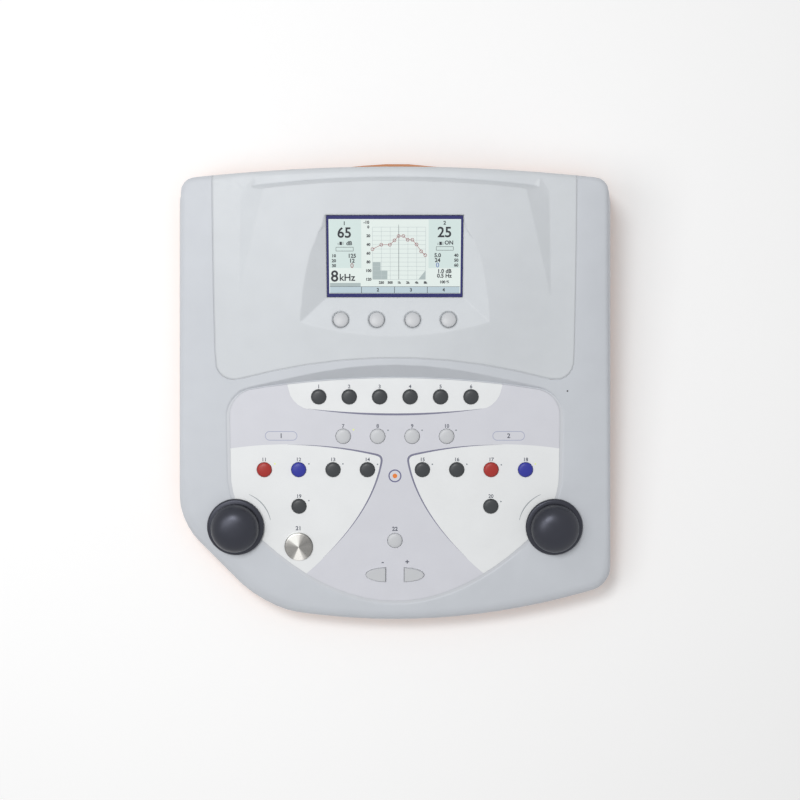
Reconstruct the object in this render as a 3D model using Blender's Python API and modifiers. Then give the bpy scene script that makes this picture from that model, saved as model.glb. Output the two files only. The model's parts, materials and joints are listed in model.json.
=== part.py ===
"""Desk-top two-channel audiometer: cases, control panel, keys, dials, display and sockets.

Metres, with +Z up and +Y towards the back. The origin is at the middle of the underside.
"""

import math

import bmesh
import bpy
from mathutils import Matrix, Vector
from mathutils.geometry import delaunay_2d_cdt

# Clearances and walls
FIT_GAP = 0.0003
WALL = 0.0025
OVERRUN = 0.01

# Case outline, seen from above
CASE_HALF_WIDTH = 0.161
CASE_FRONT = 0.170
CASE_BACK = 0.1682
BACK_LIP_REACH = 0.0018
BACK_LIP_HALF_WIDTH = 0.038
BACK_LIP_FADE = 0.026
BACK_ARC_RADIUS = 1.4
FRONT_ARC_RADIUS = 0.5
BACK_CORNER = 0.018
FRONT_CORNER = 0.014
CUT_DEPTH = 0.05166
CUT_DISTANCE = (CASE_HALF_WIDTH + CASE_FRONT) * math.sqrt(0.5) - CUT_DEPTH
CUT_CORNER = 0.015
WALL_LEAN_SHARE = 0.17

# Case heights
FOOT_HEIGHT = 0.003
PARTING_HEIGHT = 0.016
FRONT_RIM_HEIGHT = 0.030
BACK_RIM_HEIGHT = 0.074
RIM_ARCH = 0.003
CROWN_HEIGHT = 0.0095
BACK_CROWN_HEIGHT = 0.002
CROWN_MARGIN = 0.039
CROWN_HALF_WIDTH = CASE_HALF_WIDTH - CROWN_MARGIN
CROWN_START = -0.040
CROWN_FULL = 0.020
CROWN_FLAT = 0.060
FRONT_CROWN_POWER = 2
BACK_CROWN_POWER = 4

# Edge roundings of the top case
SIDE_EDGE_RADIUS = 0.004
FRONT_EDGE_RADIUS = 0.008
CUT_EDGE_RADIUS = 0.013
EDGE_BLEND = 0.03
LEAST_EDGE_RADIUS = 0.0015
EDGE_STEPS = 3
HOLLOW_EDGE_STEPS = 1

# Rear cover and the raised hood on it, whose flanks widen towards the back
COVER_RIM = 0.032
COVER_HALF_WIDTH = CASE_HALF_WIDTH - COVER_RIM
COVER_FRONT = 0.0238
COVER_FRONT_RADIUS = 0.42
COVER_CORNER = 0.018
COVER_LOWER_EDGE = 0.040
COVER_SEAM = 0.0004
COVER_MIDDLE = 0.09
HOOD_BACK = 0.1512
HOOD_BACK_RADIUS = 0.86
HOOD_TIP = 0.0675
HOOD_BACK_MARGIN = 0.0200
HOOD_TIP_MARGIN = 0.0178
HOOD_BACK_HALF_WIDTH = COVER_HALF_WIDTH - HOOD_BACK_MARGIN
HOOD_TIP_HALF_WIDTH = COVER_HALF_WIDTH - HOOD_TIP_MARGIN
HOOD_RISE = 0.0055
HOOD_SIDE_RUN = 0.0185
HOOD_BACK_RUN = 0.0035
HOOD_CORNER_SHARE = 0.6

# Control panel, in a frame that lies on the panel: x, then up the slope, then out of it
PANEL_SINK = 0.0014
PANEL_RIM = 0.0413
PANEL_HALF_WIDTH = CASE_HALF_WIDTH - PANEL_RIM
PANEL_BACK = 0.0099
PANEL_BACK_RADIUS = 0.65
PANEL_BACK_CORNER = 0.016
PANEL_FRONT = 0.1557
PANEL_FRONT_RADIUS = 0.103
PANEL_FRONT_CORNER = 0.016
PANEL_MIDDLE = -0.06
PANEL_SIDE_SLOPE_SHARE = 2.0
PANEL_STEP_SLOPE_SHARE = 0.95
PIT_REACH = 0.030
FACE_THICKNESS = 0.0010

# White inlays of the control panel
STRIP_FRONT = 0.0168
STRIP_FRONT_RADIUS = 0.474
STRIP_HALF_WIDTH = 0.0762
STRIP_END_LEAN_SHARE = 0.25
STRIP_CORNER = 0.010
WEDGE_TOP = -0.039
WEDGE_TOP_MARGIN = 0.0417
WEDGE_TOP_X = PANEL_HALF_WIDTH - WEDGE_TOP_MARGIN
WEDGE_TOP_RADIUS = 0.285
WEDGE_INNER_X = 0.0092
WEDGE_INNER_Y = -0.0475
WEDGE_INNER_LEAN_SHARE = 0.135
WEDGE_INNER_RADIUS = 0.0856
INLAY_POINTS = 14

# Keys
KEY_RADIUS = 0.0054
KEY_RISE = 0.0018
KEY_CROWN = 0.0005
KEY_TRAVEL = 0.0012
KEY_FLANGE = 0.0012
KEY_FLANGE_THICKNESS = 0.0010
KEY_SIDES = 16
FUNCTION_KEY_PITCH = 0.0220
FUNCTION_KEY_Y = -0.0040
MODE_KEY_PITCH = 0.0250
MODE_KEY_Y = -0.0328
ROW_KEY_INNER_X = 0.0200
ROW_KEY_MARGIN = 0.0247
ROW_KEY_PITCH = (PANEL_HALF_WIDTH - ROW_KEY_MARGIN - ROW_KEY_INNER_X) / 3
ROW_KEY_Y = -0.0574
HOOK_KEY_MARGIN = 0.0497
HOOK_KEY_X = PANEL_HALF_WIDTH - HOOK_KEY_MARGIN
HOOK_KEY_Y = -0.0845
INTERRUPTER_RADIUS = 0.0102
INTERRUPTER_MARGIN = 0.0492
INTERRUPTER_X = INTERRUPTER_MARGIN - PANEL_HALF_WIDTH
INTERRUPTER_Y = -0.1146
INTERRUPTER_SIDES = 28
STORE_KEY_Y = -0.1100
FREQUENCY_KEY_INNER_X = 0.0068
FREQUENCY_KEY_LENGTH = 0.0147
FREQUENCY_KEY_HALF_HEIGHT = 0.0052
FREQUENCY_KEY_Y = -0.1357
FREQUENCY_KEY_POINTS = 9

# Dials
DIAL_MARGIN = 0.0034
DIAL_X = PANEL_HALF_WIDTH - DIAL_MARGIN
DIAL_Y = -0.0996
DIAL_SKIRT_RADIUS = 0.0208
DIAL_SKIRT_THICKNESS = 0.0026
DIAL_CAP_RADIUS = 0.0176
DIAL_HEIGHT = 0.0175
DIAL_GROOVE = 0.0013
DIAL_BASE = 0.0020
DIAL_SIDES = 28
DIAL_DOME_STEPS = 5
SHAFT_RADIUS = 0.0030
SHAFT_IN_DIAL = 0.0115
SHAFT_IN_ENCODER = 0.0030
BUSH_WALL = 0.0011
ENCODER_SIDE = 0.0130
ENCODER_HEIGHT = 0.0070

# Display in its recess, in a frame on the recess floor
DISPLAY_Y = 0.0954
DISPLAY_TILT = math.radians(13.5)
DISPLAY_SET = 0.0009
WINDOW_WIDTH = 0.0965
WINDOW_LENGTH = 0.0580
WINDOW_THICKNESS = 0.0022
RECESS_BACK_MARGIN = 0.0006
RECESS_TOP_SPREAD = 0.0025
RECESS_END_X = 0.0675
RECESS_END_Y = 0.0489
RECESS_FRONT_Y = 0.0389
RECESS_SIDE_BULGE = 0.0030
RECESS_EXTEND_SHARE = 1.5
RECESS_BACK_REACH = 0.006
RECESS_TOP = 0.030
MODULE_WIDTH = 0.1055
MODULE_LENGTH = 0.0672
MODULE_THICKNESS = 0.0040
MODULE_SHIFT = 0.0020
SOFTKEY_Y = 0.0508
SOFTKEY_PITCH = 0.0256
SOFTKEY_DISH_RADIUS = 0.0065
SOFTKEY_DISH_DEPTH = 0.0006
SOFTKEY_WALL = 0.0034
SOFTKEY_BOARD_LENGTH = 0.015
BOARD_MARGIN = 0.010

# Boards, posts and screws
BOARD_THICKNESS = 0.0016
KEY_BOARD_MARGIN = 0.0117
KEY_BOARD_HALF_WIDTH = PANEL_HALF_WIDTH - KEY_BOARD_MARGIN
KEY_BOARD_FRONT = -0.1360
KEY_BOARD_BACK = 0.0020
KEY_BOARD_CORNER_SHARE = 0.416
KEY_BOARD_CORNER = KEY_BOARD_CORNER_SHARE * KEY_BOARD_HALF_WIDTH
MAIN_BOARD_LENGTH = 0.150
MAIN_BOARD_Y = 0.030
STANDOFF_HEIGHT = 0.005
STANDOFF_RADIUS = 0.003
STANDOFF_INSET = 0.008
POST_RADIUS = 0.004
SMALL_POST_RADIUS = 0.0025
POST_SIDES = 12
BACK_POST_MARGIN = 0.019
BACK_POST_X = CASE_HALF_WIDTH - BACK_POST_MARGIN
BACK_POST_Y = 0.1300
FRONT_POST_MARGIN = 0.061
FRONT_POST_X = CASE_HALF_WIDTH - FRONT_POST_MARGIN
FRONT_POST_Y = -0.1380
COVER_POST_MARGIN = 0.013
COVER_POST_X = COVER_HALF_WIDTH - COVER_POST_MARGIN
COVER_POST_YS = (0.046, 0.138)
KEY_POST_MARGIN = 0.0207
MIDDLE_POST_MARGIN = 0.0697
KEY_POST_PLACES = (
    (PANEL_HALF_WIDTH - KEY_POST_MARGIN, -0.020),
    (PANEL_HALF_WIDTH - MIDDLE_POST_MARGIN, -0.075),
    (0.028, -0.117),
)
MAIN_BOARD_MARGIN = 0.021
MAIN_BOARD_WIDTH = 2 * (COVER_POST_X - MAIN_BOARD_MARGIN)
SCREW_RADIUS = 0.0015
SCREW_HEAD_RADIUS = 0.0028
SCREW_HEAD_HEIGHT = 0.0018
SCREW_LENGTH = 0.014
SCREW_BOSS_RADIUS = 0.0055
SCREW_BOSS_HEIGHT = 0.0030
SCREW_SINK = 0.0004

# Lower case and feet
FLOOR_EDGE_INSET = 0.0060
FLOOR_ROUND_INSET = 0.0018
FLOOR_ROUND_HEIGHT = 0.0035
LOWER_CASE_INSET = 0.0005
FOOT_RADIUS = 0.008
FOOT_SIDES = 24
FOOT_BACK_MARGIN = 0.036
FOOT_BACK_X = CASE_HALF_WIDTH - FOOT_BACK_MARGIN
FOOT_BACK_Y = 0.140
FOOT_FRONT_MARGIN = 0.066
FOOT_FRONT_X = CASE_HALF_WIDTH - FOOT_FRONT_MARGIN
FOOT_FRONT_Y = -0.115

# Sockets at the back
SOCKET_BAY_HALF_WIDTH = 0.079
SOCKET_BAY_BOTTOM = 0.0190
SOCKET_BAY_TOP = 0.0362
SOCKET_BAY_FLOOR = 0.1560
SOCKET_PLATE_THICKNESS = 0.0020
SOCKET_FLANGE_THICKNESS = 0.0012
SOCKET_DEPTH = 0.012
JACK_BORE_RADIUS = 0.0033
JACK_BODY_RADIUS = 0.0050
JACK_FLANGE_RADIUS = 0.0064
JACK_SHARES = (-0.43, -0.152)
JACK_XS = tuple(share * SOCKET_BAY_HALF_WIDTH for share in JACK_SHARES)
DC_BORE_RADIUS = 0.0028
DC_BODY_RADIUS = 0.0042
DC_FLANGE_RADIUS = 0.0052
DC_PIN_RADIUS = 0.0010
DC_SHARE = 0.456
DC_X = DC_SHARE * SOCKET_BAY_HALF_WIDTH
USB_WIDTH = 0.0120
USB_HEIGHT = 0.0108
USB_MOUTH_WIDTH = 0.0084
USB_MOUTH_HEIGHT = 0.0078
USB_TONGUE_WIDTH = 0.0054
USB_TONGUE_HEIGHT = 0.0030
USB_SHARE = 0.152
USB_X = USB_SHARE * SOCKET_BAY_HALF_WIDTH
ROCKER_RADIUS = 0.0092
ROCKER_HALF_LENGTH = 0.0088
ROCKER_DIP = 0.0012
ROCKER_BACK = 0.0024
ROCKER_WIDTH = 0.0106
ROCKER_TILT = math.radians(8)
ROCKER_SHARE = 0.76
ROCKER_X = ROCKER_SHARE * SOCKET_BAY_HALF_WIDTH

# How finely curved shapes are cut into faces
CASE_POINTS = 96
PANEL_POINTS = 64
COVER_POINTS = 48
INLAY_OUTLINE_POINTS = 36
SURFACE_SPACING = 0.018
CREST_CLEARANCE = 0.002
CORNER_WEIGHT = 0.08
HOOD_LINE_STEPS = 8
HOOD_CORNER_STEPS = 4
PROBES_PER_POINT = 6
HALVINGS = 30
SEARCH_REACH = 0.4

# Colours
SHELL_GREY = (0.60, 0.63, 0.65)
COVER_GREY = (0.64, 0.67, 0.69)
CASE_ORANGE = (0.80, 0.30, 0.08)
PANEL_LAVENDER = (0.62, 0.63, 0.68)
INLAY_WHITE = (0.80, 0.80, 0.80)
KEY_BLACK = (0.03, 0.035, 0.04)
KEY_GREY = (0.62, 0.63, 0.65)
KEY_RED = (0.45, 0.03, 0.02)
KEY_BLUE = (0.03, 0.04, 0.30)
STEEL = (0.60, 0.60, 0.60)
DIAL_BLACK = (0.03, 0.03, 0.035)
WINDOW_NAVY = (0.03, 0.035, 0.16)
BOARD_GREEN = (0.02, 0.20, 0.08)
PART_BLACK = (0.02, 0.02, 0.02)

CASE_LENGTH = CASE_FRONT + CASE_BACK
PANEL_TILT = math.atan((BACK_RIM_HEIGHT - FRONT_RIM_HEIGHT) / CASE_LENGTH)
FACE_TOP = FIT_GAP + FACE_THICKNESS
FLANGE_TOP = -WALL - FIT_GAP
KEY_FOOT = FLANGE_TOP - KEY_FLANGE_THICKNESS
KEY_BOARD_TOP = KEY_FOOT - KEY_TRAVEL - FIT_GAP
LOWER_FLOOR_TOP = FOOT_HEIGHT + WALL


# Scene, collections and materials


def clear_scene():
    for thing in list(bpy.data.objects):
        bpy.data.objects.remove(thing, do_unlink=True)


def new_collection(name):
    collection = bpy.data.collections.new(name)
    bpy.context.scene.collection.children.link(collection)
    return collection


def give_material(thing, colour, roughness=0.45, metallic=0.0):
    material = bpy.data.materials.new(thing.name + "_material")
    material.use_nodes = True
    shader = material.node_tree.nodes["Principled BSDF"]
    shader.inputs["Base Color"].default_value = (*colour, 1.0)
    shader.inputs["Roughness"].default_value = roughness
    shader.inputs["Metallic"].default_value = metallic
    thing.data.materials.clear()
    thing.data.materials.append(material)


def add_mesh_object(name, builder, collection):
    mesh = bpy.data.meshes.new(name)
    builder.to_mesh(mesh)
    builder.free()
    thing = bpy.data.objects.new(name, mesh)
    collection.objects.link(thing)
    return thing


def as_cutter(thing):
    thing.hide_render = True
    thing.display_type = "WIRE"
    return thing


def apply_boolean(thing, other, operation):
    step = thing.modifiers.new(operation.lower() + "_" + other.name, "BOOLEAN")
    step.operation = operation
    step.solver = "EXACT"
    step.object = other


def cut(thing, *cutters):
    for cutter in cutters:
        apply_boolean(thing, cutter, "DIFFERENCE")


def join(thing, other):
    apply_boolean(thing, other, "UNION")


# Curved edges as distances: below zero is inside, above zero is outside


def join_softly(first, second, softness):
    """The larger of two distances, with the corner between their edges rounded."""
    if first < -softness or second < -softness:
        return max(first, second)
    return math.hypot(first + softness, second + softness) - softness


def past_arc(x, y, reach, radius):
    """Distance beyond an edge that bows out to y = reach in the middle."""
    return (y - reach + x * x / (2 * radius)) / math.hypot(1, x / radius)


def smooth_share(value, start, end):
    share = min(1, max(0, (value - start) / (end - start)))
    return share * share * (3 - 2 * share)


def case_front_distance(x, y):
    return past_arc(x, -y, CASE_FRONT, FRONT_ARC_RADIUS)


def case_cut_distance(x, y):
    return (-x - y) * math.sqrt(0.5) - CUT_DISTANCE


def case_distance(x, y):
    back = past_arc(x, y, CASE_BACK, BACK_ARC_RADIUS)
    edge = join_softly(abs(x) - CASE_HALF_WIDTH, back, BACK_CORNER)
    edge = join_softly(edge, case_front_distance(x, y), FRONT_CORNER)
    return join_softly(edge, case_cut_distance(x, y), CUT_CORNER)


def lower_case_distance(x, y):
    """The same outline, with a low lip that reaches out at the middle of the back."""
    bump = smooth_share(BACK_LIP_HALF_WIDTH - abs(x), 0, BACK_LIP_FADE)
    reach = BACK_LIP_REACH + LOWER_CASE_INSET
    return case_distance(x, y - reach * bump if y > 0 else y)


def cover_distance(x, y):
    front = -past_arc(x, y, COVER_FRONT, COVER_FRONT_RADIUS)
    edge = join_softly(abs(x) - COVER_HALF_WIDTH, front, COVER_CORNER)
    return max(edge, y - CASE_BACK - OVERRUN)


def panel_distance(x, y):
    back = past_arc(x, y, PANEL_BACK, PANEL_BACK_RADIUS)
    front = past_arc(x, -y, PANEL_FRONT, PANEL_FRONT_RADIUS)
    edge = join_softly(abs(x) - PANEL_HALF_WIDTH, back, PANEL_BACK_CORNER)
    return join_softly(edge, front, PANEL_FRONT_CORNER)


def strip_distance(x, y):
    end = abs(x) - STRIP_HALF_WIDTH - STRIP_END_LEAN_SHARE * y
    end /= math.hypot(1, STRIP_END_LEAN_SHARE)
    front = past_arc(x, -y, STRIP_FRONT, STRIP_FRONT_RADIUS)
    edge = join_softly(end, front, STRIP_CORNER)
    return max(edge, y - PANEL_BACK - OVERRUN)


def edge_point(distance, centre, angle, inset=0.0):
    """The point of an outline in one direction from its centre, moved in by inset."""
    along = Vector((math.cos(angle), math.sin(angle)))
    near = 0.0
    far = SEARCH_REACH
    for _ in range(HALVINGS):
        middle = (near + far) / 2
        place = centre + along * middle
        if distance(place.x, place.y) > -inset:
            far = middle
        else:
            near = middle
    return centre + along * near


def outline_angles(distance, centre, count):
    """Directions that put more points on the corners than on the long edges."""
    probes = count * PROBES_PER_POINT
    angles = [math.tau * i / probes for i in range(probes)]
    points = [edge_point(distance, centre, angle) for angle in angles]
    travelled = [0.0]
    for i in range(probes):
        before = points[i] - points[i - 1]
        after = points[(i + 1) % probes] - points[i]
        turn = abs(before.angle_signed(after))
        travelled.append(travelled[-1] + after.length + CORNER_WEIGHT * turn)
    chosen = []
    place = 0
    for i in range(count):
        target = travelled[-1] * i / count
        while travelled[place + 1] <= target:
            place += 1
        part = (target - travelled[place]) / (travelled[place + 1] - travelled[place])
        chosen.append(math.tau * (place + part) / probes)
    return chosen


def outline_ring(distance, centre, angles, inset=0.0):
    return [edge_point(distance, centre, angle, inset) for angle in angles]


# Heights of the case's upper surface


def rim_line(y):
    """The straight slope that the rims and the control panel share."""
    share = (y + CASE_FRONT) / CASE_LENGTH
    return FRONT_RIM_HEIGHT + (BACK_RIM_HEIGHT - FRONT_RIM_HEIGHT) * share


def crown_height(y):
    full = smooth_share(y, CROWN_START, CROWN_FULL)
    fall = smooth_share(y, CROWN_FULL, CASE_BACK)
    return full * CROWN_HEIGHT - fall * (CROWN_HEIGHT - BACK_CROWN_HEIGHT)


def body_height(x, y):
    along = min(1, max(0, (y - PANEL_BACK) / (CASE_BACK - PANEL_BACK)))
    arch = RIM_ARCH * math.sin(math.pi * along) ** 2
    flatter = smooth_share(y, CROWN_FULL, CROWN_FLAT)
    power = FRONT_CROWN_POWER + (BACK_CROWN_POWER - FRONT_CROWN_POWER) * flatter
    across = max(0, 1 - (abs(x) / CROWN_HALF_WIDTH) ** power) ** 2
    return rim_line(y) + arch + crown_height(y) * across


def hood_share(y):
    return min(1, max(0, (HOOD_BACK - y) / (HOOD_BACK - HOOD_TIP)))


def hood_half_width(y):
    spread = HOOD_TIP_HALF_WIDTH - HOOD_BACK_HALF_WIDTH
    return HOOD_BACK_HALF_WIDTH + spread * hood_share(y)


def hood_height(x, y):
    top = HOOD_RISE * (1 - hood_share(y))
    beside = (abs(x) - hood_half_width(y)) / HOOD_SIDE_RUN
    behind = past_arc(x, y, HOOD_BACK, HOOD_BACK_RADIUS) / HOOD_BACK_RUN
    wall = -join_softly(beside, behind, HOOD_CORNER_SHARE) * HOOD_RISE
    return max(0, min(top, wall))


def surface_height(x, y):
    return body_height(x, y) + hood_height(x, y)


def edge_radius(x, y, inset):
    near_front = smooth_share(case_front_distance(x, y), -EDGE_BLEND, 0)
    near_cut = smooth_share(case_cut_distance(x, y), -EDGE_BLEND, 0)
    front = (FRONT_EDGE_RADIUS - SIDE_EDGE_RADIUS) * near_front
    corner = (CUT_EDGE_RADIUS - SIDE_EDGE_RADIUS) * near_cut
    return max(LEAST_EDGE_RADIUS, SIDE_EDGE_RADIUS + max(front, corner) - inset)


# Building solids


def bridge_rings(builder, rings):
    """Vertices for each ring, and the faces between neighbouring rings."""
    loops = [[builder.verts.new(point) for point in ring] for ring in rings]
    for lower, upper in zip(loops, loops[1:]):
        count = len(lower)
        for i in range(count):
            after = (i + 1) % count
            builder.faces.new((lower[i], lower[after], upper[after], upper[i]))
    return loops


def loft(name, rings, collection):
    """A closed solid through rings of equal count that turn anticlockwise and climb."""
    builder = bmesh.new()
    loops = bridge_rings(builder, rings)
    builder.faces.new(list(reversed(loops[0])))
    builder.faces.new(loops[-1])
    return add_mesh_object(name, builder, collection)


def raised(points, height):
    return [Vector((point.x, point.y, height)) for point in points]


def surface_grid(distance, least_inset, spacing, kept_clear):
    """Evenly spaced points inside an outline, clear of its edge and of the feature lines."""
    steps = math.ceil(max(CASE_HALF_WIDTH, CASE_FRONT) / spacing)
    points = []
    for row in range(-steps, steps + 1):
        for column in range(-steps, steps + 1):
            offset = spacing / 2 if row % 2 else 0.0
            point = Vector((column * spacing + offset, row * spacing))
            if distance(point.x, point.y) > -least_inset - spacing / 2:
                continue
            if all((point - other).length > spacing / 2 for other in kept_clear):
                points.append(point)
    return points


def hood_lines():
    """Half of the hood's foot, its crest and the tip that they share, for one side."""
    shares = [i / HOOD_LINE_STEPS for i in range(HOOD_LINE_STEPS + 1)]
    corner_x = HOOD_CORNER_SHARE * HOOD_SIDE_RUN
    corner_y = HOOD_CORNER_SHARE * HOOD_BACK_RUN
    side_back = HOOD_BACK - HOOD_BACK_HALF_WIDTH**2 / (2 * HOOD_BACK_RADIUS) - corner_y
    foot = []
    crest = []
    for share in reversed(shares):
        y = side_back + (HOOD_TIP - side_back) * share
        foot.append(Vector((hood_half_width(y), y)))
        if share < 1:
            reach = HOOD_SIDE_RUN * (1 - hood_share(y))
            crest.append(Vector((hood_half_width(y) - reach, y)))
    back = foot[-1].x - corner_x
    for i in range(1, HOOD_CORNER_STEPS):
        turn = math.pi / 2 * i / HOOD_CORNER_STEPS
        reach = Vector((corner_x * math.cos(turn), corner_y * math.sin(turn)))
        foot.append(Vector((back, side_back)) + reach)
    for share in reversed(shares):
        x = back * share
        foot.append(Vector((x, HOOD_BACK - x * x / (2 * HOOD_BACK_RADIUS))))
    inner = HOOD_BACK_HALF_WIDTH - HOOD_SIDE_RUN
    for share in reversed(shares):
        x = inner * share
        y = HOOD_BACK - x * x / (2 * HOOD_BACK_RADIUS) - HOOD_BACK_RUN
        crest.append(Vector((x, y)))
    return foot, crest


def mirrored(half):
    """A line that ends on the middle plane, carried on over the other side."""
    return half + [Vector((-point.x, point.y)) for point in reversed(half[:-1])]


def case_solid(name, inset, drop, bottom, steps, extra_lines, collection):
    """The case's outer form, or its hollow where inset and drop are the wall."""
    centre = Vector((0.0, 0.0))
    angles = outline_angles(case_distance, centre, CASE_POINTS)
    columns = []
    for angle in angles:
        foot = edge_point(case_distance, centre, angle, inset)
        radius = edge_radius(foot.x, foot.y, inset)
        rise = body_height(foot.x, foot.y) - drop - radius - PARTING_HEIGHT
        lean = inset + WALL_LEAN_SHARE * rise
        rim = edge_point(case_distance, centre, angle, lean + radius)
        top = body_height(rim.x, rim.y) - drop
        base = edge_point(
            case_distance, centre, angle, inset + WALL_LEAN_SHARE * (bottom - PARTING_HEIGHT)
        )
        column = [Vector((base.x, base.y, bottom))]
        for step in range(steps + 1):
            turn = math.pi / 2 * step / steps
            reach = lean + radius * (1 - math.cos(turn))
            point = edge_point(case_distance, centre, angle, reach)
            column.append(Vector((point.x, point.y, top - radius * (1 - math.sin(turn)))))
        columns.append(column)
    rings = [list(ring) for ring in zip(*columns)]
    builder = bmesh.new()
    loops = bridge_rings(builder, rings)
    builder.faces.new(list(reversed(loops[0])))
    foot, crest = (mirrored(half) for half in hood_lines())
    lines = [foot, [foot[0]] + crest + [foot[-1]]] + extra_lines
    rim_inset = WALL_LEAN_SHARE * (BACK_RIM_HEIGHT - PARTING_HEIGHT) + CUT_EDGE_RADIUS
    grid = surface_grid(case_distance, rim_inset, SURFACE_SPACING, sum(lines, []))
    cap_surface(builder, loops[-1], lines, grid, drop)
    return add_mesh_object(name, builder, collection)


def cap_surface(builder, rim, lines, grid, drop):
    """Closes the rim with the case's curved upper surface, creased along the lines."""
    places = [vertex.co.xy.copy() for vertex in rim]
    count = len(places)
    edges = []
    for line in lines:
        start = len(places)
        places.extend(line)
        edges.extend((i, i + 1) for i in range(start, len(places) - 1))
    places.extend(grid)
    found, _, faces, sources, _, _ = delaunay_2d_cdt(
        places, edges, [list(range(count))], 1, LEAST_EDGE_RADIUS / count
    )
    corners = []
    for place, source in zip(found, sources):
        on_rim = [i for i in source if i < count]
        if on_rim:
            corners.append(rim[on_rim[0]])
            continue
        height = surface_height(place.x, place.y) - drop
        corners.append(builder.verts.new((place.x, place.y, height)))
    for face in faces:
        builder.faces.new([corners[i] for i in face])


def add_cylinder(builder, frame, radius, low, high, sides):
    """A cylinder along the third axis of a frame, between two heights."""
    middle = frame @ Matrix.Translation((0, 0, (low + high) / 2))
    bmesh.ops.create_cone(
        builder,
        cap_ends=True,
        segments=sides,
        radius1=radius,
        radius2=radius,
        depth=high - low,
        matrix=middle,
    )


def cylinders(name, places, collection):
    """Several cylinders in one object; each place is a frame, radius, low, high and sides."""
    builder = bmesh.new()
    for frame, radius, low, high, sides in places:
        add_cylinder(builder, frame, radius, low, high, sides)
    return add_mesh_object(name, builder, collection)


def block(name, low, high, collection, frame=None):
    """A box between two corners of a frame."""
    builder = bmesh.new()
    size = Vector(high) - Vector(low)
    middle = (Vector(high) + Vector(low)) / 2
    shape = Matrix.Translation(middle) @ Matrix.Diagonal((*size, 1))
    bmesh.ops.create_cube(builder, size=1, matrix=shape)
    thing = add_mesh_object(name, builder, collection)
    if frame is not None:
        thing.matrix_world = frame
    return thing


def plate(name, outline, low, thickness, collection, frame):
    """A flat piece cut to an outline, lying in a frame from height low."""
    curve = bpy.data.curves.new(name, "CURVE")
    curve.dimensions = "2D"
    curve.fill_mode = "BOTH"
    curve.extrude = thickness / 2
    spline = curve.splines.new("POLY")
    spline.points.add(len(outline) - 1)
    for point, place in zip(spline.points, outline):
        point.co = (place.x, place.y, 0, 1)
    spline.use_cyclic_u = True
    flat = bpy.data.objects.new(name + "_outline", curve)
    collection.objects.link(flat)
    flat.matrix_world = frame @ Matrix.Translation((0, 0, low + thickness / 2))
    bpy.context.view_layer.update()
    reader = bpy.context.evaluated_depsgraph_get()
    mesh = bpy.data.meshes.new_from_object(flat.evaluated_get(reader))
    builder = bmesh.new()
    builder.from_mesh(mesh)
    bmesh.ops.remove_doubles(builder, verts=builder.verts, dist=FIT_GAP / 10)
    bmesh.ops.recalc_face_normals(builder, faces=builder.faces)
    builder.to_mesh(mesh)
    builder.free()
    thing = bpy.data.objects.new(name, mesh)
    collection.objects.link(thing)
    thing.matrix_world = flat.matrix_world
    bpy.data.objects.remove(flat, do_unlink=True)
    return thing


def turned(name, profile, sides, collection, frame):
    """A turned piece: a profile of radius and height, from its top to its bottom."""
    builder = bmesh.new()
    points = [builder.verts.new((radius, 0, height)) for radius, height in profile]
    for upper, lower in zip(points, points[1:]):
        builder.edges.new((upper, lower))
    thing = add_mesh_object(name, builder, collection)
    screw = thing.modifiers.new("turn", "SCREW")
    screw.steps = sides
    screw.render_steps = sides
    screw.use_merge_vertices = True
    screw.merge_threshold = FIT_GAP / 10
    screw.use_smooth_shade = True
    thing.matrix_world = frame
    return thing


# Frames that the pieces sit in


def panel_frame(x=0.0, y=0.0, height=0.0):
    base = Matrix.Translation((0, 0, rim_line(0) - PANEL_SINK))
    return base @ Matrix.Rotation(PANEL_TILT, 4, "X") @ Matrix.Translation((x, y, height))


def display_back_edge():
    y = DISPLAY_Y + WINDOW_LENGTH / 2 * math.cos(DISPLAY_TILT)
    return Vector((0, y, surface_height(0, y) - DISPLAY_SET))


def display_frame(x=0.0, y=0.0, height=0.0):
    """The frame on the recess floor, whose back edge is all but flush with the cover."""
    base = Matrix.Translation(display_back_edge()) @ Matrix.Rotation(DISPLAY_TILT, 4, "X")
    return base @ Matrix.Translation((x, y - WINDOW_LENGTH / 2, height))


def recess_front_line(x):
    """Where the recess meets the cover in front of the display."""
    bow = (RECESS_END_Y - RECESS_FRONT_Y) * (x / RECESS_END_X) ** 2
    y = RECESS_FRONT_Y + bow
    return Vector((x, y, surface_height(x, y)))


def softkey_frame(x):
    """A frame on the sloping floor in front of the display, square to the key."""
    floor_edge = display_frame(x, -WINDOW_LENGTH / 2) @ Vector((0, 0, 0))
    crest = recess_front_line(x)
    slope = math.atan2(floor_edge.z - crest.z, floor_edge.y - crest.y)
    share = (floor_edge.y - SOFTKEY_Y) / (floor_edge.y - crest.y)
    place = floor_edge.lerp(crest, share)
    place.x = x
    return Matrix.Translation(place) @ Matrix.Rotation(slope, 4, "X")


def back_frame(x, height, y):
    """A frame whose third axis points out of the back."""
    return Matrix.Translation((x, y, height)) @ Matrix.Rotation(-math.pi / 2, 4, "X")


# Recesses: each is a cutter, and grown by the wall it leaves a skin around itself


def panel_walls(grow):
    """Each point of the recess's floor edge, and how far its wall leans out per unit of height."""
    centre = Vector((0.0, PANEL_MIDDLE))
    angles = outline_angles(panel_distance, centre, PANEL_POINTS)
    floor = outline_ring(panel_distance, centre, angles, -grow)
    walls = []
    for i, point in enumerate(floor):
        along = floor[(i + 1) % len(floor)] - floor[i - 1]
        outward = Vector((along.y, -along.x)).normalized()
        facing_back = max(0, outward.y) ** 2
        spread = PANEL_STEP_SLOPE_SHARE - PANEL_SIDE_SLOPE_SHARE
        slope = PANEL_SIDE_SLOPE_SHARE + spread * facing_back
        walls.append((point, outward * slope))
    return walls


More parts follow.
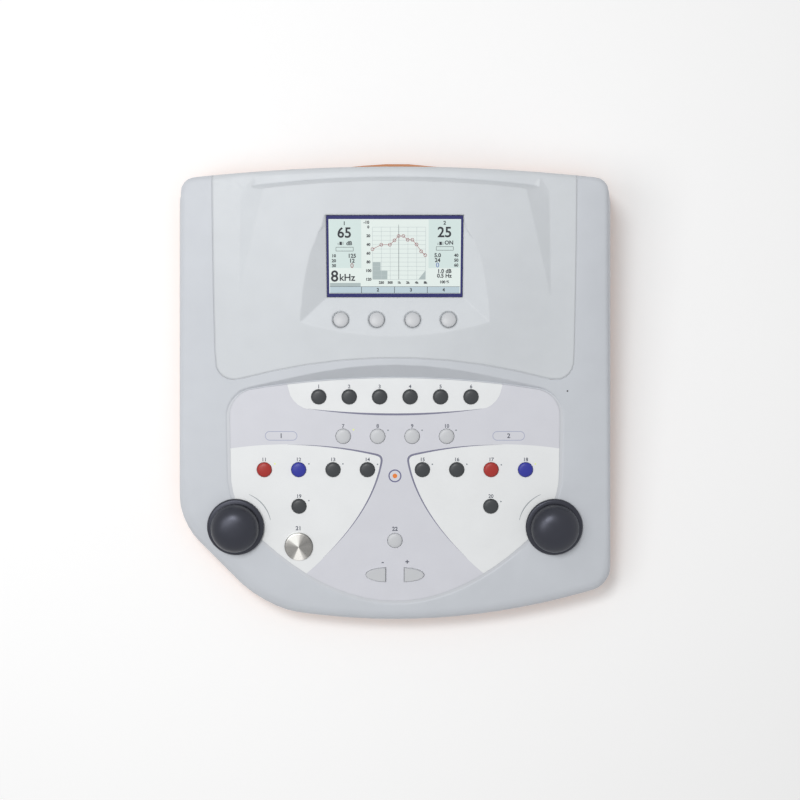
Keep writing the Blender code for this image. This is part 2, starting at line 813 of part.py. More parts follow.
def panel_recess(name, grow, collection):
    walls = panel_walls(grow)
    floor = [point for point, _ in walls]
    rim = [point + lean * PIT_REACH for point, lean in walls]
    thing = loft(name, [raised(floor, -grow), raised(rim, PIT_REACH - grow)], collection)
    thing.matrix_world = panel_frame()
    return thing


def wall_crest(foot, lean):
    """Where one line of the panel's back wall comes out at the surface, seen from above."""
    near = 0.0
    far = PIT_REACH
    for _ in range(HALVINGS):
        rise = (near + far) / 2
        flat = foot + lean * rise
        place = panel_frame() @ Vector((flat.x, flat.y, rise))
        if place.z < surface_height(place.x, place.y):
            near = rise
        else:
            far = rise
    return place.xy


def step_lines():
    """Lines just in front of and behind the crest of the step at the panel's back."""
    spread = PANEL_STEP_SLOPE_SHARE / 2
    crest = [wall_crest(foot, lean) for foot, lean in panel_walls(0.0) if lean.y > spread]
    shifts = (Vector((0, -CREST_CLEARANCE)), Vector((0, CREST_CLEARANCE)))
    return [[point + shift for point in crest] for shift in shifts]


def recess_lines():
    """Closed lines just inside and just outside the display recess's edge."""
    crest = [(display_frame() @ high).xy for _, high in recess_outline_pairs(0.0)]
    middle = Vector((0, DISPLAY_Y))
    lines = []
    for shift in (-CREST_CLEARANCE, CREST_CLEARANCE):
        line = [point + (point - middle).normalized() * shift for point in crest]
        lines.append(line + line[:1])
    return lines


def recess_outline_pairs(grow):
    """Pairs of a point on the display recess's floor edge and the point that it slopes up to."""
    half_width = WINDOW_WIDTH / 2 + RECESS_BACK_MARGIN
    half_length = WINDOW_LENGTH / 2 + RECESS_BACK_MARGIN
    pairs = []
    to_panel = display_frame().inverted()
    front_steps = 12
    side_steps = 8
    for i in range(front_steps + 1):
        share = 2 * i / front_steps - 1
        crest = to_panel @ recess_front_line(share * RECESS_END_X)
        floor = Vector((share * half_width, -half_length, 0))
        pairs.append((floor, crest, Vector((share, -1, 0))))
    back_y = display_back_edge().y
    top_x = half_width + RECESS_TOP_SPREAD
    for side in (1, -1):
        steps = range(1, side_steps + 1) if side > 0 else range(side_steps, 0, -1)
        for i in steps:
            share = i / side_steps
            bulge = 4 * RECESS_SIDE_BULGE * share * (1 - share)
            x = side * (RECESS_END_X + (top_x - RECESS_END_X) * share + bulge)
            y = RECESS_END_Y + (back_y - RECESS_END_Y) * share
            crest = to_panel @ Vector((x, y, surface_height(x, y)))
            floor = Vector((side * half_width, (2 * share - 1) * half_length, 0))
            pairs.append((floor, crest, Vector((side, share, 0))))
    grown = []
    for floor, crest, outward in pairs:
        shift = outward * grow - Vector((0, 0, grow))
        grown.append((floor + shift, crest + shift))
    return grown


def display_recess(name, grow, collection):
    pairs = recess_outline_pairs(grow)
    floor = [low for low, _ in pairs]
    top = []
    for low, high in pairs:
        reach = low + (high - low) * RECESS_EXTEND_SHARE
        reach.z = max(reach.z, low.z + RECESS_BACK_REACH)
        top.append(reach)
    thing = loft(name, [floor, top, raised(top, RECESS_TOP)], collection)
    thing.matrix_world = display_frame()
    return thing


def socket_bay(name, grow, collection):
    low = (-SOCKET_BAY_HALF_WIDTH - grow, SOCKET_BAY_FLOOR - grow, SOCKET_BAY_BOTTOM - grow)
    high = (SOCKET_BAY_HALF_WIDTH + grow, CASE_BACK + OVERRUN, SOCKET_BAY_TOP + grow)
    return block(name, low, high, collection)


# Where the keys are: name, x, y and colour, all on the control panel


def round_keys():
    keys = []
    for i in range(6):
        x = (i - 5 / 2) * FUNCTION_KEY_PITCH
        keys.append((f"function_key_{i + 1}", x, FUNCTION_KEY_Y, KEY_BLACK))
    for i in range(4):
        x = (i - 3 / 2) * MODE_KEY_PITCH
        keys.append((f"mode_key_{i + 1}", x, MODE_KEY_Y, KEY_GREY))
    stimulus_colours = (KEY_BLACK, KEY_BLACK, KEY_BLUE, KEY_RED)
    masking_colours = (KEY_BLACK, KEY_BLACK, KEY_RED, KEY_BLUE)
    for i in range(4):
        x = ROW_KEY_INNER_X + i * ROW_KEY_PITCH
        keys.append((f"stimulus_key_{i + 1}", -x, ROW_KEY_Y, stimulus_colours[i]))
        keys.append((f"masking_key_{i + 1}", x, ROW_KEY_Y, masking_colours[i]))
    keys.append(("hook_key", -HOOK_KEY_X, HOOK_KEY_Y, KEY_BLACK))
    keys.append(("enable_key", HOOK_KEY_X, HOOK_KEY_Y, KEY_BLACK))
    keys.append(("store_key", 0.0, STORE_KEY_Y, KEY_GREY))
    return keys


def softkey_xs():
    return [(i - 3 / 2) * SOFTKEY_PITCH for i in range(4)]


def key_profile(radius, rise, flange_top):
    """A key from the middle of its crowned top down to its foot."""
    return [
        (0, rise),
        (radius - KEY_CROWN, rise - KEY_CROWN),
        (radius, rise - 2 * KEY_CROWN),
        (radius, flange_top),
        (radius + KEY_FLANGE, flange_top),
        (radius + KEY_FLANGE, flange_top - KEY_FLANGE_THICKNESS),
        (0, flange_top - KEY_FLANGE_THICKNESS),
    ]


def half_ellipse(side, grow):
    """A half-round key's outline with its flat side towards the middle, anticlockwise."""
    points = []
    for i in range(FREQUENCY_KEY_POINTS):
        turn = math.pi * (i / (FREQUENCY_KEY_POINTS - 1) - 1 / 2)
        out = (FREQUENCY_KEY_LENGTH + grow) * math.cos(turn)
        up = (FREQUENCY_KEY_HALF_HEIGHT + grow) * math.sin(turn)
        points.append(Vector((out, up)))
    points[0].x = points[-1].x = -grow
    if grow:
        points[0].y -= FIT_GAP / 10
        points[-1].y += FIT_GAP / 10
    if side < 0:
        points = [Vector((-point.x, point.y)) for point in reversed(points)]
    middle = side * FREQUENCY_KEY_INNER_X
    return [Vector((point.x + middle, point.y + FREQUENCY_KEY_Y)) for point in points]


# The cases


def screw_places():
    return [
        (-FRONT_POST_X, FRONT_POST_Y),
        (FRONT_POST_X, FRONT_POST_Y),
        (-BACK_POST_X, BACK_POST_Y),
        (BACK_POST_X, BACK_POST_Y),
    ]


def ceiling(x, y):
    """A height inside the upper case's wall, where a post takes root."""
    return surface_height(x, y) - WALL / 2


def build_cases(parts, cutters):
    lines = step_lines() + recess_lines()
    outer = case_solid("top_shell", 0.0, 0.0, PARTING_HEIGHT, EDGE_STEPS, lines, parts)
    cover = bpy.data.objects.new("rear_cover", outer.data.copy())
    parts.objects.link(cover)
    bottom = PARTING_HEIGHT - OVERRUN
    hollow = case_solid("case_hollow", WALL, WALL, bottom, HOLLOW_EDGE_STEPS, [], cutters)
    as_cutter(hollow)
    panel_skin = as_cutter(panel_recess("panel_skin", WALL, cutters))
    display_skin = as_cutter(display_recess("display_skin", WALL, cutters))
    bay_skin = as_cutter(socket_bay("bay_skin", WALL, cutters))
    cut(hollow, panel_skin, display_skin, bay_skin)
    finish_top_shell(outer, hollow, cutters)
    finish_rear_cover(cover, hollow, cutters)


def cover_block(name, grow, collection):
    centre = Vector((0.0, COVER_MIDDLE))
    angles = outline_angles(cover_distance, centre, COVER_POINTS)
    outline = outline_ring(cover_distance, centre, angles, -grow)
    top = BACK_RIM_HEIGHT + CROWN_HEIGHT + OVERRUN
    rings = [raised(outline, COVER_LOWER_EDGE - grow), raised(outline, top)]
    return as_cutter(loft(name, rings, collection))


def key_openings(name, collection):
    """Holes through the panel for every key, the dials' bushes and the voice microphone."""
    low = -WALL - OVERRUN / 2
    places = []
    for _, x, y, _ in round_keys():
        frame = panel_frame(x, y)
        places.append((frame, KEY_RADIUS + FIT_GAP, low, OVERRUN, KEY_SIDES))
    frame = panel_frame(INTERRUPTER_X, INTERRUPTER_Y)
    radius = INTERRUPTER_RADIUS + FIT_GAP
    places.append((frame, radius, low, OVERRUN, INTERRUPTER_SIDES))
    bush_radius = SHAFT_RADIUS + BUSH_WALL + 2 * FIT_GAP
    for side in (-1, 1):
        frame = panel_frame(side * DIAL_X, DIAL_Y)
        places.append((frame, bush_radius, low, OVERRUN, KEY_SIDES))
    return as_cutter(cylinders(name, places, collection))


def frequency_opening(side, collection):
    outline = half_ellipse(side, FIT_GAP)
    name = "frequency_opening_left" if side < 0 else "frequency_opening_right"
    low = -WALL - OVERRUN / 2
    return as_cutter(plate(name, outline, low, OVERRUN - low, collection, panel_frame()))


def finish_top_shell(shell, hollow, cutters):
    slot = cover_block("cover_slot", COVER_SEAM, cutters)
    recess = as_cutter(panel_recess("panel_recess", 0.0, cutters))
    bay = as_cutter(socket_bay("socket_bay", 0.0, cutters))
    cut(shell, hollow, slot, recess, bay)
    low = LOWER_FLOOR_TOP + SCREW_BOSS_HEIGHT + FIT_GAP
    places = []
    for x, y in screw_places():
        places.append((Matrix.Translation((x, y, 0)), POST_RADIUS, low, ceiling(x, y), POST_SIDES))
    for x, y in KEY_POST_PLACES:
        for side in (-1, 1):
            frame = panel_frame(side * x, y)
            top = -WALL / 2
            places.append((frame, SMALL_POST_RADIUS, KEY_BOARD_TOP + FIT_GAP, top, POST_SIDES))
    join(shell, as_cutter(cylinders("top_shell_posts", places, cutters)))
    bores = []
    for x, y in screw_places():
        frame = Matrix.Translation((x, y, 0))
        high = low + SCREW_LENGTH
        bores.append((frame, SCREW_RADIUS + FIT_GAP, low - OVERRUN, high, POST_SIDES))
    cut(shell, as_cutter(cylinders("screw_bores", bores, cutters)))
    openings = key_openings("panel_openings", cutters)
    cut(shell, openings, frequency_opening(-1, cutters), frequency_opening(1, cutters))
    cut(shell, socket_openings("shell_socket_openings", cutters))
    cut(shell, rocker_opening("shell_rocker_opening", cutters))
    give_material(shell, SHELL_GREY)


def finish_rear_cover(cover, hollow, cutters):
    outline = cover_block("cover_block", 0.0, cutters)
    apply_boolean(cover, outline, "INTERSECT")
    recess = as_cutter(display_recess("display_recess", 0.0, cutters))
    half_width = WINDOW_WIDTH / 2 + FIT_GAP
    half_length = WINDOW_LENGTH / 2 + FIT_GAP
    low = (-half_width, -half_length, -WALL - OVERRUN / 2)
    high = (half_width, half_length, OVERRUN / 4)
    window = as_cutter(block("window_opening", low, high, cutters, display_frame()))
    cut(cover, hollow, recess, window)
    places = []
    for y in COVER_POST_YS:
        for side in (-1, 1):
            x = side * COVER_POST_X
            frame = Matrix.Translation((x, y, 0))
            foot = LOWER_FLOOR_TOP + FIT_GAP
            places.append((frame, POST_RADIUS, foot, ceiling(x, y), POST_SIDES))
    for side in (-1, 1):
        frame = softkey_frame(side * SOFTKEY_PITCH)
        foot = softkey_board_top() + FIT_GAP
        places.append((frame, SMALL_POST_RADIUS, foot, -WALL / 2, POST_SIDES))
    join(cover, as_cutter(cylinders("rear_cover_posts", places, cutters)))
    dishes = []
    holes = []
    for x in softkey_xs():
        frame = softkey_frame(x)
        dishes.append((frame, SOFTKEY_DISH_RADIUS, -SOFTKEY_DISH_DEPTH, OVERRUN / 2, KEY_SIDES))
        holes.append((frame, KEY_RADIUS + FIT_GAP, -OVERRUN, OVERRUN / 2, KEY_SIDES))
    cut(cover, as_cutter(cylinders("softkey_dishes", dishes, cutters)))
    cut(cover, as_cutter(cylinders("softkey_holes", holes, cutters)))
    give_material(cover, COVER_GREY)


def lower_case_form(name, grow, floor, top, collection):
    """The lower case's outside, or with grow set to the wall its hollow."""
    centre = Vector((0.0, 0.0))
    angles = outline_angles(case_distance, centre, CASE_POINTS)
    levels = [
        (floor, FLOOR_EDGE_INSET),
        (floor + FLOOR_ROUND_HEIGHT, FLOOR_ROUND_INSET),
        (PARTING_HEIGHT - FLOOR_ROUND_HEIGHT, LOWER_CASE_INSET),
        (top, LOWER_CASE_INSET),
    ]
    rings = []
    for height, inset in levels:
        outline = outline_ring(lower_case_distance, centre, angles, inset + grow)
        rings.append(raised(outline, height))
    return loft(name, rings, collection)


def build_lower_case(parts, cutters):
    top = PARTING_HEIGHT - FIT_GAP
    shell = lower_case_form("bottom_shell", 0.0, FOOT_HEIGHT, top, parts)
    hollow = lower_case_form("lower_hollow", WALL, LOWER_FLOOR_TOP, top + OVERRUN, cutters)
    cut(shell, as_cutter(hollow))
    root = FOOT_HEIGHT + WALL / 2
    places = []
    for x, y in screw_places():
        frame = Matrix.Translation((x, y, 0))
        high = LOWER_FLOOR_TOP + SCREW_BOSS_HEIGHT
        places.append((frame, SCREW_BOSS_RADIUS, root, high, POST_SIDES))
    for x, y in main_board_corners():
        frame = Matrix.Translation((x, y, 0))
        high = LOWER_FLOOR_TOP + STANDOFF_HEIGHT
        places.append((frame, STANDOFF_RADIUS, root, high, POST_SIDES))
    join(shell, as_cutter(cylinders("lower_posts", places, cutters)))
    holes = []
    for x, y in screw_places():
        frame = Matrix.Translation((x, y, 0))
        holes.append((frame, SCREW_RADIUS + FIT_GAP, 0.0, PARTING_HEIGHT, POST_SIDES))
    heads = []
    for x, y in screw_places():
        frame = Matrix.Translation((x, y, 0))
        seat = FOOT_HEIGHT + SCREW_SINK + SCREW_HEAD_HEIGHT + FIT_GAP
        heads.append((frame, SCREW_HEAD_RADIUS + FIT_GAP, 0.0, seat, POST_SIDES))
    cut(shell, as_cutter(cylinders("screw_holes", holes, cutters)))
    cut(shell, as_cutter(cylinders("screw_heads", heads, cutters)))
    give_material(shell, CASE_ORANGE)


def build_feet_and_screws(parts):
    feet = [
        (-FOOT_FRONT_X, FOOT_FRONT_Y),
        (FOOT_FRONT_X, FOOT_FRONT_Y),
        (-FOOT_BACK_X, FOOT_BACK_Y),
        (FOOT_BACK_X, FOOT_BACK_Y),
    ]
    for number, (x, y) in enumerate(feet, 1):
        top = FOOT_HEIGHT - FIT_GAP
        rounding = top / 4
        profile = [
            (0, top),
            (FOOT_RADIUS, top),
            (FOOT_RADIUS, rounding),
            (FOOT_RADIUS - rounding, 0),
            (0, 0),
        ]
        frame = Matrix.Translation((x, y, 0))
        foot = turned(f"foot_{number}", profile, FOOT_SIDES, parts, frame)
        give_material(foot, PART_BLACK, roughness=0.8)
    for number, (x, y) in enumerate(screw_places(), 1):
        low = FOOT_HEIGHT + SCREW_SINK
        neck = low + SCREW_HEAD_HEIGHT
        profile = [
            (0, low + SCREW_LENGTH),
            (SCREW_RADIUS, low + SCREW_LENGTH),
            (SCREW_RADIUS, neck),
            (SCREW_HEAD_RADIUS, neck),
            (SCREW_HEAD_RADIUS, low),
            (0, low),
        ]
        frame = Matrix.Translation((x, y, 0))
        screw = turned(f"case_screw_{number}", profile, POST_SIDES, parts, frame)
        give_material(screw, STEEL, roughness=0.3, metallic=1.0)


# The control panel


def wedge_outline(side, grow):
    """A white wedge's outline on the panel; its outer sides run past the panel's edge."""
    inner = []
    length = PANEL_FRONT + OVERRUN + WEDGE_INNER_Y
    for i in range(1, INLAY_POINTS):
        down = length * i / (INLAY_POINTS - 1)
        bow = down * down / (2 * WEDGE_INNER_RADIUS)
        slope = WEDGE_INNER_LEAN_SHARE + down / WEDGE_INNER_RADIUS
        reach = grow * math.hypot(1, slope)
        x = WEDGE_INNER_X + WEDGE_INNER_LEAN_SHARE * down + bow - reach
        inner.append(Vector((x, WEDGE_INNER_Y - down)))
    last = WEDGE_INNER_X - grow
    far = max(PANEL_HALF_WIDTH, inner[-1].x) + OVERRUN
    top = []
    for i in range(INLAY_POINTS):
        x = far + (last - far) * i / (INLAY_POINTS - 1)
        y = WEDGE_TOP - (x - WEDGE_TOP_X) ** 2 / (2 * WEDGE_TOP_RADIUS) + grow
        top.append(Vector((x, y)))
    outline = top + inner + [Vector((far, inner[-1].y))]
    return [Vector((side * point.x, point.y)) for point in outline]


def strip_outline(grow):
    centre = Vector((0.0, 0.0))
    angles = outline_angles(strip_distance, centre, INLAY_OUTLINE_POINTS)
    return outline_ring(strip_distance, centre, angles, -grow)


def build_panel_faces(parts, cutters):
    """The grey face and the three white inlays in it, all cut from one sheet's outline."""
    centre = Vector((0.0, PANEL_MIDDLE))
    angles = outline_angles(panel_distance, centre, PANEL_POINTS)
    outline = outline_ring(panel_distance, centre, angles, FIT_GAP)
    openings = key_openings("face_openings", cutters)
    frequency_holes = [frequency_opening(-1, cutters), frequency_opening(1, cutters)]
    shapes = {
        "key_strip_inlay": strip_outline,
        "stimulus_inlay": lambda grow: wedge_outline(-1, grow),
        "masking_inlay": lambda grow: wedge_outline(1, grow),
    }
    face = plate("control_face", outline, FIT_GAP, FACE_THICKNESS, parts, panel_frame())
    low = FIT_GAP - OVERRUN / 4
    depth = FACE_THICKNESS + OVERRUN / 2
    for name, shape in shapes.items():
        around = plate(name + "_room", shape(FIT_GAP), low, depth, cutters, panel_frame())
        cut(face, as_cutter(around))
        within = plate(name + "_shape", shape(0.0), low, depth, cutters, panel_frame())
        inlay = plate(name, outline, FIT_GAP, FACE_THICKNESS, parts, panel_frame())
        apply_boolean(inlay, as_cutter(within), "INTERSECT")
        cut(inlay, openings)
        give_material(inlay, INLAY_WHITE, roughness=0.5)
    cut(face, openings, *frequency_holes)
    give_material(face, PANEL_LAVENDER, roughness=0.5)


def build_keys(parts):
    rise = FACE_TOP + KEY_RISE
    for name, x, y, colour in round_keys():
        profile = key_profile(KEY_RADIUS, rise, FLANGE_TOP)
        key = turned(name, profile, KEY_SIDES, parts, panel_frame(x, y))
        give_material(key, colour, roughness=0.4)
    profile = key_profile(INTERRUPTER_RADIUS, rise, FLANGE_TOP)
    frame = panel_frame(INTERRUPTER_X, INTERRUPTER_Y)
    key = turned("interrupter_button", profile, INTERRUPTER_SIDES, parts, frame)
    give_material(key, STEEL, roughness=0.25, metallic=1.0)
    for i, x in enumerate(softkey_xs()):
        profile = key_profile(KEY_RADIUS, KEY_RISE, -SOFTKEY_WALL - FIT_GAP)
        key = turned(f"softkey_{i + 1}", profile, KEY_SIDES, parts, softkey_frame(x))
        give_material(key, KEY_GREY, roughness=0.4)
    for side, name in ((-1, "frequency_down_key"), (1, "frequency_up_key")):
        rings = [
            raised(half_ellipse(side, KEY_FLANGE), KEY_FOOT),
            raised(half_ellipse(side, KEY_FLANGE), FLANGE_TOP),
            raised(half_ellipse(side, 0.0), FLANGE_TOP),
            raised(half_ellipse(side, 0.0), rise - 2 * KEY_CROWN),
            raised(half_ellipse(side, -KEY_CROWN), rise - KEY_CROWN / 2),
        ]
        key = loft(name, rings, parts)
        key.matrix_world = panel_frame()
        give_material(key, KEY_GREY, roughness=0.4)


def build_dials(parts, cutters):
    for side, name in ((-1, "left"), (1, "right")):
        frame = panel_frame(side * DIAL_X, DIAL_Y)
        build_dial(name + "_dial", frame, parts)
        build_shaft(name + "_dial_shaft", frame, parts)
        build_encoder(name + "_encoder", frame, parts, cutters)


def build_dial(name, frame, parts):
    """A domed cap over a flat skirt, with a bore for its shaft."""
    waist = DIAL_SKIRT_THICKNESS + DIAL_GROOVE
    dome_base = waist + DIAL_GROOVE
    dome = DIAL_HEIGHT - dome_base
    profile = []
    for i in range(DIAL_DOME_STEPS + 1):
        turn = math.pi / 2 * i / DIAL_DOME_STEPS
        height = dome_base + dome * math.cos(turn)
        profile.append((DIAL_CAP_RADIUS * math.sin(turn), height))
    profile.append((DIAL_CAP_RADIUS - DIAL_GROOVE, waist))
    profile.append((DIAL_CAP_RADIUS - DIAL_GROOVE, DIAL_SKIRT_THICKNESS))
    profile.append((DIAL_SKIRT_RADIUS - DIAL_GROOVE, DIAL_SKIRT_THICKNESS))
    profile.append((DIAL_SKIRT_RADIUS, DIAL_SKIRT_THICKNESS / 2))
    profile.append((DIAL_SKIRT_RADIUS, 0))
    profile.append((SHAFT_RADIUS + FIT_GAP, 0))
    profile.append((SHAFT_RADIUS + FIT_GAP, SHAFT_IN_DIAL + FIT_GAP))
    profile.append((0, SHAFT_IN_DIAL + FIT_GAP))
    base = frame @ Matrix.Translation((0, 0, DIAL_BASE))
    dial = turned(name, profile, DIAL_SIDES, parts, base)
    give_material(dial, DIAL_BLACK, roughness=0.35)


def build_shaft(name, frame, parts):
    top = DIAL_BASE + SHAFT_IN_DIAL
    bottom = FLANGE_TOP - SHAFT_IN_ENCODER
    profile = [(0, top), (SHAFT_RADIUS, top), (SHAFT_RADIUS, bottom), (0, bottom)]
    shaft = turned(name, profile, KEY_SIDES, parts, frame)
    give_material(shaft, STEEL, roughness=0.3, metallic=1.0)


def build_encoder(name, frame, parts, cutters):
    """A square body under the panel with a bush that stands up through it."""
    half = ENCODER_SIDE / 2
    low = (-half, -half, FLANGE_TOP - ENCODER_HEIGHT)
    high = (half, half, FLANGE_TOP)
    body = block(name, low, high, parts, frame)
    bush_top = DIAL_BASE - FIT_GAP
    bush = (frame, SHAFT_RADIUS + BUSH_WALL + FIT_GAP, FLANGE_TOP - WALL, bush_top, KEY_SIDES)
    join(body, as_cutter(cylinders(name + "_bush", [bush], cutters)))
    floor = FLANGE_TOP - SHAFT_IN_ENCODER - FIT_GAP
    bore = (frame, SHAFT_RADIUS + FIT_GAP, floor, DIAL_HEIGHT, KEY_SIDES)
    cut(body, as_cutter(cylinders(name + "_bore", [bore], cutters)))
    give_material(body, STEEL, roughness=0.4, metallic=0.8)


# The display


def softkey_board_top():
    return -SOFTKEY_WALL - FIT_GAP - KEY_FLANGE_THICKNESS - KEY_TRAVEL - FIT_GAP


def build_display(parts):
    half_width = WINDOW_WIDTH / 2
    half_length = WINDOW_LENGTH / 2
    low = (-half_width, -half_length, -WINDOW_THICKNESS)
    window = block("display_window", low, (half_width, half_length, 0), parts, display_frame())
    give_material(window, WINDOW_NAVY, roughness=0.1)
    half_width = MODULE_WIDTH / 2
    half_length = MODULE_LENGTH / 2
    top = -WALL - FIT_GAP
    low = (-half_width, -half_length - MODULE_SHIFT, top - MODULE_THICKNESS)
    high = (half_width, half_length - MODULE_SHIFT, top)
    module = block("display_module", low, high, parts, display_frame())
    give_material(module, STEEL, roughness=0.4, metallic=0.5)
    half_width = 3 * SOFTKEY_PITCH / 2 + BOARD_MARGIN
    half_length = SOFTKEY_BOARD_LENGTH / 2
    top = softkey_board_top()
    low = (-half_width, -half_length, top - BOARD_THICKNESS)
    high = (half_width, half_length, top)
    board = block("softkey_board", low, high, parts, softkey_frame(0.0))
    give_material(board, BOARD_GREEN)


# The boards inside


def main_board_corners():
    x = MAIN_BOARD_WIDTH / 2 - STANDOFF_INSET
    y = MAIN_BOARD_LENGTH / 2 - STANDOFF_INSET
    return [(i * x, MAIN_BOARD_Y + j * y) for i in (-1, 1) for j in (-1, 1)]


def build_boards(parts):
    low = LOWER_FLOOR_TOP + STANDOFF_HEIGHT + FIT_GAP
    half_width = MAIN_BOARD_WIDTH / 2
    half_length = MAIN_BOARD_LENGTH / 2
    start = (-half_width, MAIN_BOARD_Y - half_length, low)
    end = (half_width, MAIN_BOARD_Y + half_length, low + BOARD_THICKNESS)
    give_material(block("main_board", start, end, parts), BOARD_GREEN)
    corner = KEY_BOARD_CORNER
    outline = [
        Vector((-KEY_BOARD_HALF_WIDTH, KEY_BOARD_FRONT + 2 * corner)),
        Vector((-KEY_BOARD_HALF_WIDTH + 2 * corner, KEY_BOARD_FRONT)),
        Vector((KEY_BOARD_HALF_WIDTH - 2 * corner, KEY_BOARD_FRONT)),
        Vector((KEY_BOARD_HALF_WIDTH, KEY_BOARD_FRONT + 2 * corner)),
        Vector((KEY_BOARD_HALF_WIDTH, KEY_BOARD_BACK)),
        Vector((-KEY_BOARD_HALF_WIDTH, KEY_BOARD_BACK)),
    ]
    low = KEY_BOARD_TOP - BOARD_THICKNESS
    board = plate("keypad_board", outline, low, BOARD_THICKNESS, parts, panel_frame())
    give_material(board, BOARD_GREEN)


# The sockets at the back


def socket_height():
    return (SOCKET_BAY_BOTTOM + SOCKET_BAY_TOP) / 2


def plate_face():
    return SOCKET_BAY_FLOOR + FIT_GAP + SOCKET_PLATE_THICKNESS


def round_sockets():
    """Each round socket's name, x, body radius, flange radius and bore radius."""
    sockets = [
        (f"phones_jack_{i + 1}", x, JACK_BODY_RADIUS, JACK_FLANGE_RADIUS, JACK_BORE_RADIUS)
        for i, x in enumerate(JACK_XS)
    ]
    sockets.append(("dc_inlet", DC_X, DC_BODY_RADIUS, DC_FLANGE_RADIUS, DC_BORE_RADIUS))
    return sockets


def socket_openings(name, collection):
    """Holes for the sockets through the bay's floor and the plate on it."""
    places = []
    for _, x, body, _, _ in round_sockets():
        frame = back_frame(x, socket_height(), plate_face())
        places.append((frame, body + FIT_GAP, -OVERRUN, OVERRUN, KEY_SIDES))
    thing = cylinders(name, places, collection)
    half_width = USB_WIDTH / 2 + FIT_GAP
    half_height = USB_HEIGHT / 2 + FIT_GAP
    low = (USB_X - half_width, plate_face() - OVERRUN, socket_height() - half_height)
    high = (USB_X + half_width, plate_face() + OVERRUN, socket_height() + half_height)
    join(thing, as_cutter(block(name + "_usb", low, high, collection)))
    return as_cutter(thing)


def rocker_opening(name, collection):
    half_width = ROCKER_RADIUS + FIT_GAP
    half_height = ROCKER_WIDTH / 2 + FIT_GAP
    low = (ROCKER_X - half_width, plate_face() - OVERRUN, socket_height() - half_height)
    high = (ROCKER_X + half_width, plate_face() + OVERRUN, socket_height() + half_height)
    return as_cutter(block(name, low, high, collection))


def build_sockets(parts, cutters):
    gap = 2 * FIT_GAP
    low = (-SOCKET_BAY_HALF_WIDTH + gap, SOCKET_BAY_FLOOR + FIT_GAP, SOCKET_BAY_BOTTOM + gap)
    high = (SOCKET_BAY_HALF_WIDTH - gap, plate_face(), SOCKET_BAY_TOP - gap)
    panel = block("connector_panel", low, high, parts)
    cut(panel, socket_openings("plate_socket_openings", cutters))
    cut(panel, rocker_opening("plate_rocker_opening", cutters))
    give_material(panel, PART_BLACK, roughness=0.6)
    for name, x, body, flange, bore in round_sockets():
        face = FIT_GAP + SOCKET_FLANGE_THICKNESS
        profile = [
            (0, -SOCKET_DEPTH + WALL / 2),
            (bore, -SOCKET_DEPTH + WALL / 2),
            (bore, face),
            (flange, face),
            (flange, FIT_GAP),
            (body, FIT_GAP),
            (body, -SOCKET_DEPTH),
            (0, -SOCKET_DEPTH),
        ]
        if name == "dc_inlet":
            profile[:1] = [(0, 0), (DC_PIN_RADIUS, 0), (DC_PIN_RADIUS, profile[0][1])]
        frame = back_frame(x, socket_height(), plate_face())
        socket = turned(name, profile, KEY_SIDES, parts, frame)
        give_material(socket, PART_BLACK, roughness=0.4)
    build_usb_port(parts, cutters)
    build_rocker(parts)


def build_usb_port(parts, cutters):
    """A square socket with a tongue in its mouth."""
    face = plate_face() + SOCKET_FLANGE_THICKNESS
    back = plate_face() - SOCKET_DEPTH
    half_width = USB_WIDTH / 2
    half_height = USB_HEIGHT / 2
    middle = socket_height()
    low = (USB_X - half_width, back, middle - half_height)
    high = (USB_X + half_width, face, middle + half_height)
    port = block("usb_port", low, high, parts)
    half_width = USB_MOUTH_WIDTH / 2
    half_height = USB_MOUTH_HEIGHT / 2
    low = (USB_X - half_width, back + WALL / 2, middle - half_height)
    high = (USB_X + half_width, face + OVERRUN, middle + half_height)
    cut(port, as_cutter(block("usb_mouth", low, high, cutters)))
    half_width = USB_TONGUE_WIDTH / 2
    half_height = USB_TONGUE_HEIGHT / 2
    low = (USB_X - half_width, back + WALL / 4, middle - half_height)
    high = (USB_X + half_width, face - SOCKET_FLANGE_THICKNESS, middle + half_height)
    join(port, as_cutter(block("usb_tongue", low, high, cutters)))
    give_material(port, STEEL, roughness=0.35, metallic=0.8)


def build_rocker(parts):
    """The power switch: a rocker that turns about an upright pin at its middle."""
    crest = math.sqrt(ROCKER_RADIUS**2 - ROCKER_HALF_LENGTH**2)
    outline = [
        Vector((-ROCKER_HALF_LENGTH, -ROCKER_BACK)),
        Vector((ROCKER_HALF_LENGTH, -ROCKER_BACK)),
        Vector((ROCKER_RADIUS, 0)),
        Vector((ROCKER_HALF_LENGTH, crest)),
        Vector((0, crest - ROCKER_DIP)),
        Vector((-ROCKER_HALF_LENGTH, crest)),
        Vector((-ROCKER_RADIUS, 0)),
    ]
    place = Matrix.Translation((ROCKER_X, plate_face(), socket_height()))
    frame = place @ Matrix.Rotation(ROCKER_TILT, 4, "Z")
    low = -ROCKER_WIDTH / 2
    rocker = plate("power_switch", outline, low, ROCKER_WIDTH, parts, frame)
    give_material(rocker, PART_BLACK, roughness=0.35)


def main():
    clear_scene()
    parts = new_collection("audiometer")
    cutters = new_collection("cutters")
    build_cases(parts, cutters)
    build_lower_case(parts, cutters)
    build_feet_and_screws(parts)
    build_panel_faces(parts, cutters)
    build_keys(parts)
    build_dials(parts, cutters)
    build_display(parts)
    build_boards(parts)
    build_sockets(parts, cutters)


main()
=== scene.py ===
"""Looks for the desk-top audiometer: finishes, print, the picture on the display, light and camera."""

import json
import math
from collections import namedtuple

import bmesh
import bpy
from mathutils import Matrix, Vector
from mathutils.bvhtree import BVHTree

